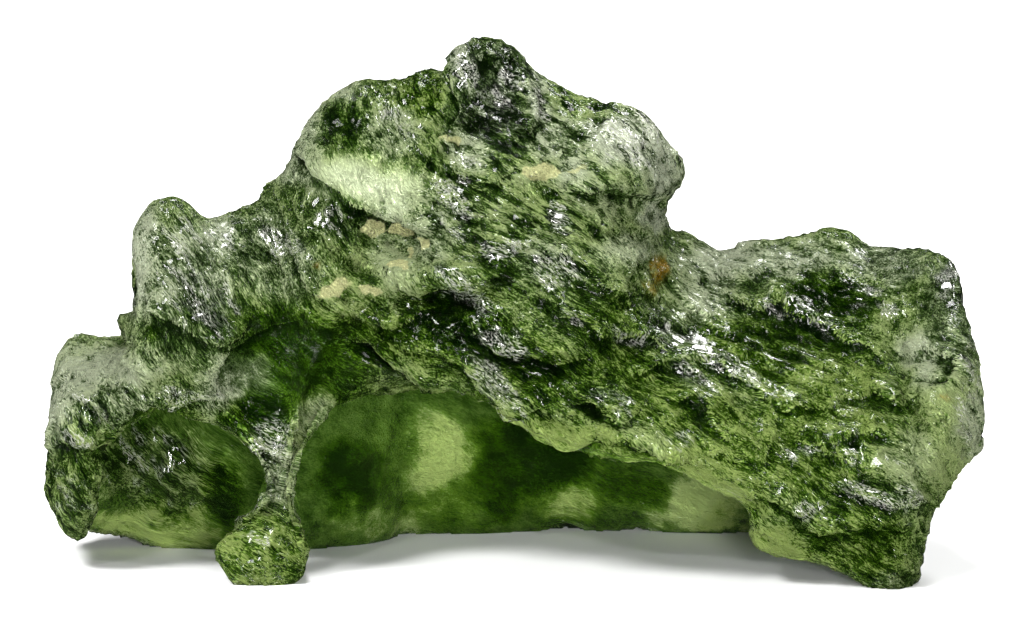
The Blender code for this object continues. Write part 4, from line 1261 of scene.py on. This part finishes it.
def blend(share, a, b):
    """a + share times (b - a), for colours"""
    node = nodes.new("ShaderNodeMix")
    node.data_type = "RGBA"
    for value, socket in zip((share, a, b), (node.inputs["Factor"], node.inputs[6], node.inputs[7])):
        wire(value, socket)
    return node.outputs[2]


print("the material starts with", len(nodes), "nodes")

# %% [markdown]
# ## Streaks and grains in the glass
#
# Finer than the mesh can show, the skin is a felt of tiny drawn facets, each dark or bright as it is
# turned to the lamps. Noise stretched along the flow paints that light and shade into the colour, and
# tilts the bump. The last two numbers of each run say how many there are to a metre across the flow,
# the first how many along it. Dust and grit have no flow, so they are made in plain space.

# %% Streaks and grains
RIPPLE_RUN = (3300, 13500, 13500)
STREAK_RUN = (640, 2700, 2700)
SPARK_RUN = (6000, 20000, 20000)
CUP_RUN = (1100, 2300, 2300)
TILE_RUN = (1500, 5200, 5200)
GRIT_RUN = (11000, 11000, 11000)


def stored(name, output="Fac"):
    """The number or the vector that the skin carries under this name."""
    node = nodes.new("ShaderNodeAttribute")
    node.attribute_name = name
    return node.outputs[output]


def stretched(vector, scale):
    """The vector times the scale, axis by axis."""
    node = nodes.new("ShaderNodeVectorMath")
    node.operation = "MULTIPLY"
    links.new(vector, node.inputs[0])
    node.inputs[1].default_value = scale
    return node.outputs[0]


def noise(vector, detail, rough, bent):
    """Soft noise of 0 to 1, with detail more layers, each rough times as strong, pushed about by bent."""
    node = nodes.new("ShaderNodeTexNoise")
    for name, value in (("Scale", 1), ("Detail", detail), ("Roughness", rough), ("Distortion", bent)):
        node.inputs[name].default_value = value
    links.new(vector, node.inputs["Vector"])
    return node.outputs["Fac"]


def cups(vector, output):
    """Cells round scattered seeds: the distance from the seed, or a colour of the cell's own."""
    node = nodes.new("ShaderNodeTexVoronoi")
    node.inputs["Scale"].default_value = 1
    links.new(vector, node.inputs["Vector"])
    return node.outputs[output]


flow = stored("run", "Vector")
in_space = nodes.new("ShaderNodeTexCoord").outputs["Object"]
streaks = noise(stretched(flow, STREAK_RUN), 4, 0.62, 0.6)
ripple = noise(stretched(flow, RIPPLE_RUN), 1, 0.5, 1.3)
spark = noise(stretched(flow, SPARK_RUN), 1, 0.5, 1.0)
grit = noise(stretched(in_space, GRIT_RUN), 1, 0.5, 0.0)
cup = cups(stretched(flow, CUP_RUN), "Distance")
tile = cups(stretched(flow, TILE_RUN), "Color")
print("ripples are", round(1000 / RIPPLE_RUN[1], 3), "mm across")

# %% [markdown]
# ## How light the glass looks
#
# One number runs from the darkest depth to the brightest frost. It starts from the tone, which holds
# painted glow and shade. Painted light and shade go on top: lighter on the relief's crests and darker
# in its hollows, a highlight on the lips of the scales and shade under them, and the light and shade
# of the felt of facets, of the cups, lighter at their rims, and of the crumpled tiles. Grit adds
# specks. The facets' share goes with how busy the place is.

# %% The light in the glass
RELIEF_SHADING_SHARE, PAINTED_RIM_SHARE, TONE_LIFT = 0.18, 0.22, 0.03
STREAK_SHARE, GRIT_SHARE, CUP_SHARE, FACET_SHARE = 1.3, 0.25, 0.6, 0.32
LEVEL = -1.31              # brings the average of all of these to about 0
LEAST_TILES, MORE_TILES = 0.2, 0.9
SHARP = (0.45, 0.55)       # between these a soft noise is cut into light and dark

# Painted light and shade of facets finer than the mesh, and of the cups, lighter at their rims.
painted_facets = times(eased_between(spark, *SHARP), FACET_SHARE)
painted_facets = plus(eased_between(ripple, *SHARP), FACET_SHARE, painted_facets)
grit_and_painted_light = plus(grit, GRIT_SHARE, plus(cup, CUP_SHARE, plus(painted_facets, 1.0, LEVEL)))
grit_and_painted_light = plus(streaks, STREAK_SHARE, grit_and_painted_light)
# Painted light and shade of the crumpled tiles: each tile lighter or darker, like a facet of foil.
painted_tile_light = times(plus(stored("crumpled"), MORE_TILES, LEAST_TILES), plus(tile, 1.0, -0.5))
grit_and_painted_light = plus(painted_tile_light, 1.0, grit_and_painted_light)
# Painted shade in the relief's hollows and painted highlight on its crests and on the scales' lips.
light = plus(stored("relief"), RELIEF_SHADING_SHARE, plus(stored("tone"), 1.0, TONE_LIFT))
light = plus(stored("edge"), PAINTED_RIM_SHARE, light)
light = arithmetic("ADD", light, times(stored("busy"), grit_and_painted_light))
print("the light is summed in", len(nodes), "nodes so far")

# %% [markdown]
# ## Painted light on the lips, painted shade at their feet
#
# The lips of the plates are thin and sharp, so a painted highlight follows each one along a ragged
# line, and just below them the glass gets painted shade. The skin carries the distance from the
# nearest lip. A band of that distance, made uneven by the same noises, paints the line far finer
# than the mesh.

# %% Lips and feet
LIP_LIGHT, FOOT_SHADE = 0.45, -0.35
BENT_BY_STREAKS, BENT_BY_GRIT, BENT_BY_RIPPLE, LINE_PLACE = 0.15, 0.16, 0.12, -0.21
LIP_BEGINS, LIP_ENDS = (-0.01, 0.03), (0.14, 0.04)       # mm from the lip
FOOT_BEGINS, FOOT_ENDS = (-0.55, -0.02), (0.02, -0.01)

bold_edge = stored("bold")
ragged = plus(grit, BENT_BY_GRIT, plus(ripple, BENT_BY_RIPPLE, plus(stored("ledge"), 1.0, LINE_PLACE)))
ragged = plus(streaks, BENT_BY_STREAKS, ragged)
lip = times(eased_between(ragged, *LIP_BEGINS), eased_between(ragged, *LIP_ENDS))
foot = times(eased_between(ragged, *FOOT_BEGINS), eased_between(ragged, *FOOT_ENDS))
# A painted highlight along each lip, and painted shade at its foot.
light = plus(times(times(lip, bold_edge), eased_between(ripple, 0.40, 0.60)), LIP_LIGHT, light)
light = plus(times(foot, bold_edge), FOOT_SHADE, light)
print("a lip's line is about 0.13 mm wide")

# %% [markdown]
# ## Green, and frosted green
#
# Two rows of colours turn the light into green. Clear glass goes from nearly black through bottle
# green to yellow green. Frosted glass is greyer at every step. How grey a place is blends between
# them. Tiny painted white glints, clay and rust lie on top.

# %% Colours
CLEAR_GREEN = (
    (0.00, 0.0015, 0.0085, 0.0001), (0.25, 0.0070, 0.028, 0.0004), (0.50, 0.032, 0.088, 0.002),
    (0.75, 0.112, 0.230, 0.018), (1.00, 0.440, 0.590, 0.160),
)
FROSTED_GREEN = (
    (0.00, 0.0025, 0.0070, 0.0008), (0.25, 0.014, 0.027, 0.006), (0.50, 0.066, 0.095, 0.038),
    (0.75, 0.195, 0.225, 0.150), (1.00, 0.720, 0.750, 0.630),
)
PAINTED_GLINT_WHITE = (0.76, 0.76, 0.68, 1)
DRY_CLAY = (0.95, 0.96, 0.46, 1)
RUST_BROWN = (0.52, 0.30, 0.02, 1)
MOST_FROST = 0.74
PAINTED_GLINT_COVER = 0.75
CLAY_COVER, CLAY_CRUMBS = 0.65, 0.3
RUST_COVER, RUST_CRUMBS = 0.4, 0.5


def ramp(value, stops):
    """The colour at value in a row of (position, red, green, blue), blended between neighbours."""
    node = nodes.new("ShaderNodeValToRGB")
    line = node.color_ramp.elements
    while len(line) < len(stops):
        line.new(0.5)
    for spot, (at, *colour) in zip(line, stops):
        spot.position = at
        spot.color = (*colour, 1)
    links.new(value, node.inputs["Fac"])
    return node.outputs["Color"]


gloss = stored("sheen")
dull = eased_between(stored("grey"), 0.30, 0.95, 0.0, MOST_FROST)
# Painted glints: near-white flecks in the colour where the sheen and the streaks are high.
painted_glint = times(eased_between(spark, 0.50, 0.58), eased_between(plus(streaks, 0.8, gloss), 0.69, 1.05))
crumbs = eased_between(grit, 0.40, 0.50)
colour = blend(dull, ramp(light, CLEAR_GREEN), ramp(light, FROSTED_GREEN))
colour = blend(times(painted_glint, PAINTED_GLINT_COVER), colour, PAINTED_GLINT_WHITE)
clay_share = times(eased_between(stored("clay"), 0.35, 0.55), plus(crumbs, CLAY_CRUMBS, CLAY_COVER))
colour = blend(clay_share, colour, DRY_CLAY)
colour = blend(times(stored("rust"), plus(crumbs, RUST_CRUMBS, RUST_COVER)), colour, RUST_BROWN)
links.new(colour, shader.inputs["Base Color"])
print("colours blended from", len(CLEAR_GREEN), "clear and", len(FROSTED_GREEN), "frosted greens")

# %% [markdown]
# ## Gloss, see-through and depth
#
# Natural glass bends light by 1.49. Its etched skin scatters most of what falls on it and lets a part
# through, more where it is busy with clear facets and less where it is frosted. A thin coat on the
# polished patches gives the sharp glints. What gets inside is swallowed on its way, blue first and
# green last, so thin rims glow and thick parts go dark. A fine bump tilts the facets.

# %% Gloss and depth
BENDING = 1.49
SHINE = 0.15
COAT_ROUGHNESS = 0.05
MOST_ROUGH, LEAST_ROUGH = 0.13, 0.05
BUMP_DEPTH = 0.0010        # metres
COAT_GLOSS, COAT_ON_PAINTED_GLINT = 0.8, 0.3
LEAST_THROUGH, BUSY_THROUGH, FROST_THROUGH, THROUGH_AT_PAINTED_GLINT = 0.10, 0.35, -0.25, -0.2
BUMP_CUP, BUMP_STREAKS = 1.2, 0.3
GLASS_LIGHT = (0.50, 0.68, 0.20, 1)
GLASS_DENSITY = 700

shader.inputs["IOR"].default_value = BENDING
shader.inputs["Specular IOR Level"].default_value = SHINE
shader.inputs["Coat Roughness"].default_value = COAT_ROUGHNESS
links.new(eased_between(streaks, 0.35, 0.65, MOST_ROUGH, LEAST_ROUGH), shader.inputs["Roughness"])
links.new(plus(gloss, COAT_GLOSS, times(painted_glint, COAT_ON_PAINTED_GLINT)), shader.inputs["Coat Weight"])
through = plus(dull, FROST_THROUGH, plus(stored("busy"), BUSY_THROUGH, LEAST_THROUGH))
through = plus(painted_glint, THROUGH_AT_PAINTED_GLINT, through)
links.new(through, shader.inputs["Transmission Weight"])

bump = nodes.new("ShaderNodeBump")
bump.inputs["Strength"].default_value = 1.0
bump.inputs["Distance"].default_value = BUMP_DEPTH
tilts = plus(cup, BUMP_CUP, plus(streaks, BUMP_STREAKS, ripple))
links.new(times(stored("busy"), tilts), bump.inputs["Height"])
links.new(bump.outputs["Normal"], shader.inputs["Normal"])

depth = nodes.new("ShaderNodeVolumeAbsorption")
depth.inputs["Color"].default_value = GLASS_LIGHT
depth.inputs["Density"].default_value = GLASS_DENSITY
links.new(depth.outputs["Volume"], nodes["Material Output"].inputs["Volume"])
skin.data.materials.append(glass)
print("the glass is a net of", len(nodes), "nodes")

# %% [markdown]
# ## Floor
#
# A plain pale sheet carries the stone's shadow. It gives no reflection into the glass, where it would
# lie over the darks like a veil.

# %% Floor
FLOOR = 0.6                # metres from the middle to an edge
PAPER_WHITE = (0.9, 0.9, 0.9, 1)
PAPER_ROUGHNESS = 0.9
floor_corners = [(-FLOOR, -FLOOR, 0), (FLOOR, -FLOOR, 0), (FLOOR, FLOOR, 0), (-FLOOR, FLOOR, 0)]
floor_mesh = bpy.data.meshes.new("floor")
floor_mesh.from_pydata(floor_corners, [], [(0, 1, 2, 3)])
floor = bpy.data.objects.new("floor", floor_mesh)
bpy.context.scene.collection.objects.link(floor)
paper = bpy.data.materials.new("pale paper")
paper.use_nodes = True
paper_shader = paper.node_tree.nodes["Principled BSDF"]
paper_shader.inputs["Base Color"].default_value = PAPER_WHITE
paper_shader.inputs["Roughness"].default_value = PAPER_ROUGHNESS
floor_mesh.materials.append(paper)
floor.visible_glossy = False
print("floor", 2 * FLOOR, "m wide")

# %% [markdown]
# ## The room's light
#
# The eye should see a white room, but a white room would fill every hollow with light. So rays from
# the camera find full white, and all other rays find only a faint glow.

# %% The room
ROOM_GLOW = 0.04
scene = bpy.context.scene
scene.view_settings.view_transform = "Standard"
world = bpy.data.worlds.new("studio")
scene.world = world
world.use_nodes = True
room, join = world.node_tree.nodes, world.node_tree.links
glow = room["Background"]
glow.inputs["Color"].default_value = (1, 1, 1, 1)
glow.inputs["Strength"].default_value = ROOM_GLOW
white = room.new("ShaderNodeBackground")
white.inputs["Color"].default_value = (1, 1, 1, 1)
which = room.new("ShaderNodeMixShader")
join.new(room.new("ShaderNodeLightPath").outputs["Is Camera Ray"], which.inputs["Fac"])
join.new(glow.outputs["Background"], which.inputs[1])
join.new(white.outputs["Background"], which.inputs[2])
join.new(which.outputs["Shader"], room["World Output"].inputs["Surface"])
print("the room glows at", ROOM_GLOW)

# %% [markdown]
# ## Lamps
#
# Four soft lamps light the stone from the left, from behind, from the front and from above. The one
# behind makes the thin rims glow. Four tiny ones add little light, but their sharp reflections are
# the glints that make glass look wet.

# %% Lamps
MIDDLE = (0, 0, 0.01)
LAMPS = (
    # name, place, size and power
    ("key", (-0.12, -0.10, 0.18), 0.05, 0.62),
    ("back", (0.08, 0.14, 0.16), 0.06, 0.50),
    ("front", (0.04, -0.25, 0.05), 0.05, 0.50),
    ("over", (0.0, -0.02, 0.22), 0.05, 0.42),
    ("left glint", (-0.08, -0.16, 0.14), 0.01, 0.08),
    ("right glint", (0.12, -0.10, 0.16), 0.01, 0.08),
    ("top glint", (-0.01, -0.05, 0.21), 0.01, 0.08),
    ("low glint", (-0.05, -0.22, 0.05), 0.008, 0.06),
)


def turned_to(place, target):
    """The turn that makes a lamp's or a camera's own -z axis point from place to target."""
    return (Vector(target) - Vector(place)).to_track_quat("-Z", "Y").to_euler()


for name, lamp_place, size, power in LAMPS:
    data = bpy.data.lights.new(name, "AREA")
    data.size = size
    data.energy = power
    lamp = bpy.data.objects.new(name, data)
    lamp.location = lamp_place
    lamp.rotation_euler = turned_to(lamp_place, MIDDLE)
    scene.collection.objects.link(lamp)
print(len(LAMPS), "lamps give", round(sum(power for *_, power in LAMPS), 2), "W")

# %% [markdown]
# ## Camera
#
# The stone was drawn as if seen from far off, with no perspective. A long lens at 0.6 m comes close to
# that. The aim is worked out from where the middle of the frame falls on the drawing.

# %% Camera
IMAGE = (1024, 629)
PIXELS_PER_MM = 27.7
MIDDLE_PIXEL, GROUND_PIXEL = 513, 587
AIM_PIXEL = (512, 314.5)
AIM_DEPTH = 3.0
FAR = 600.0
SENSOR = 36
NEAREST, FURTHEST = 0.01, 10
sight = np.array([0, cos(LINE_OF_SIGHT), -sin(LINE_OF_SIGHT)])
across = (AIM_PIXEL[0] - MIDDLE_PIXEL) / PIXELS_PER_MM
up = (GROUND_PIXEL - AIM_PIXEL[1]) / PIXELS_PER_MM
aim = np.array([across, 0.0, up / cos(LINE_OF_SIGHT)]) + place + sight * AIM_DEPTH
eye = aim - sight * FAR
camera_data = bpy.data.cameras.new("camera")
camera_data.sensor_width = SENSOR
camera_data.lens = SENSOR * FAR / (IMAGE[0] / PIXELS_PER_MM)
camera_data.clip_start, camera_data.clip_end = NEAREST, FURTHEST
camera = bpy.data.objects.new("camera", camera_data)
camera.location = Vector(eye * MM)
camera.rotation_euler = turned_to(eye, aim)
scene.collection.objects.link(camera)
scene.camera = camera
print("the lens is", round(camera_data.lens), "mm long")
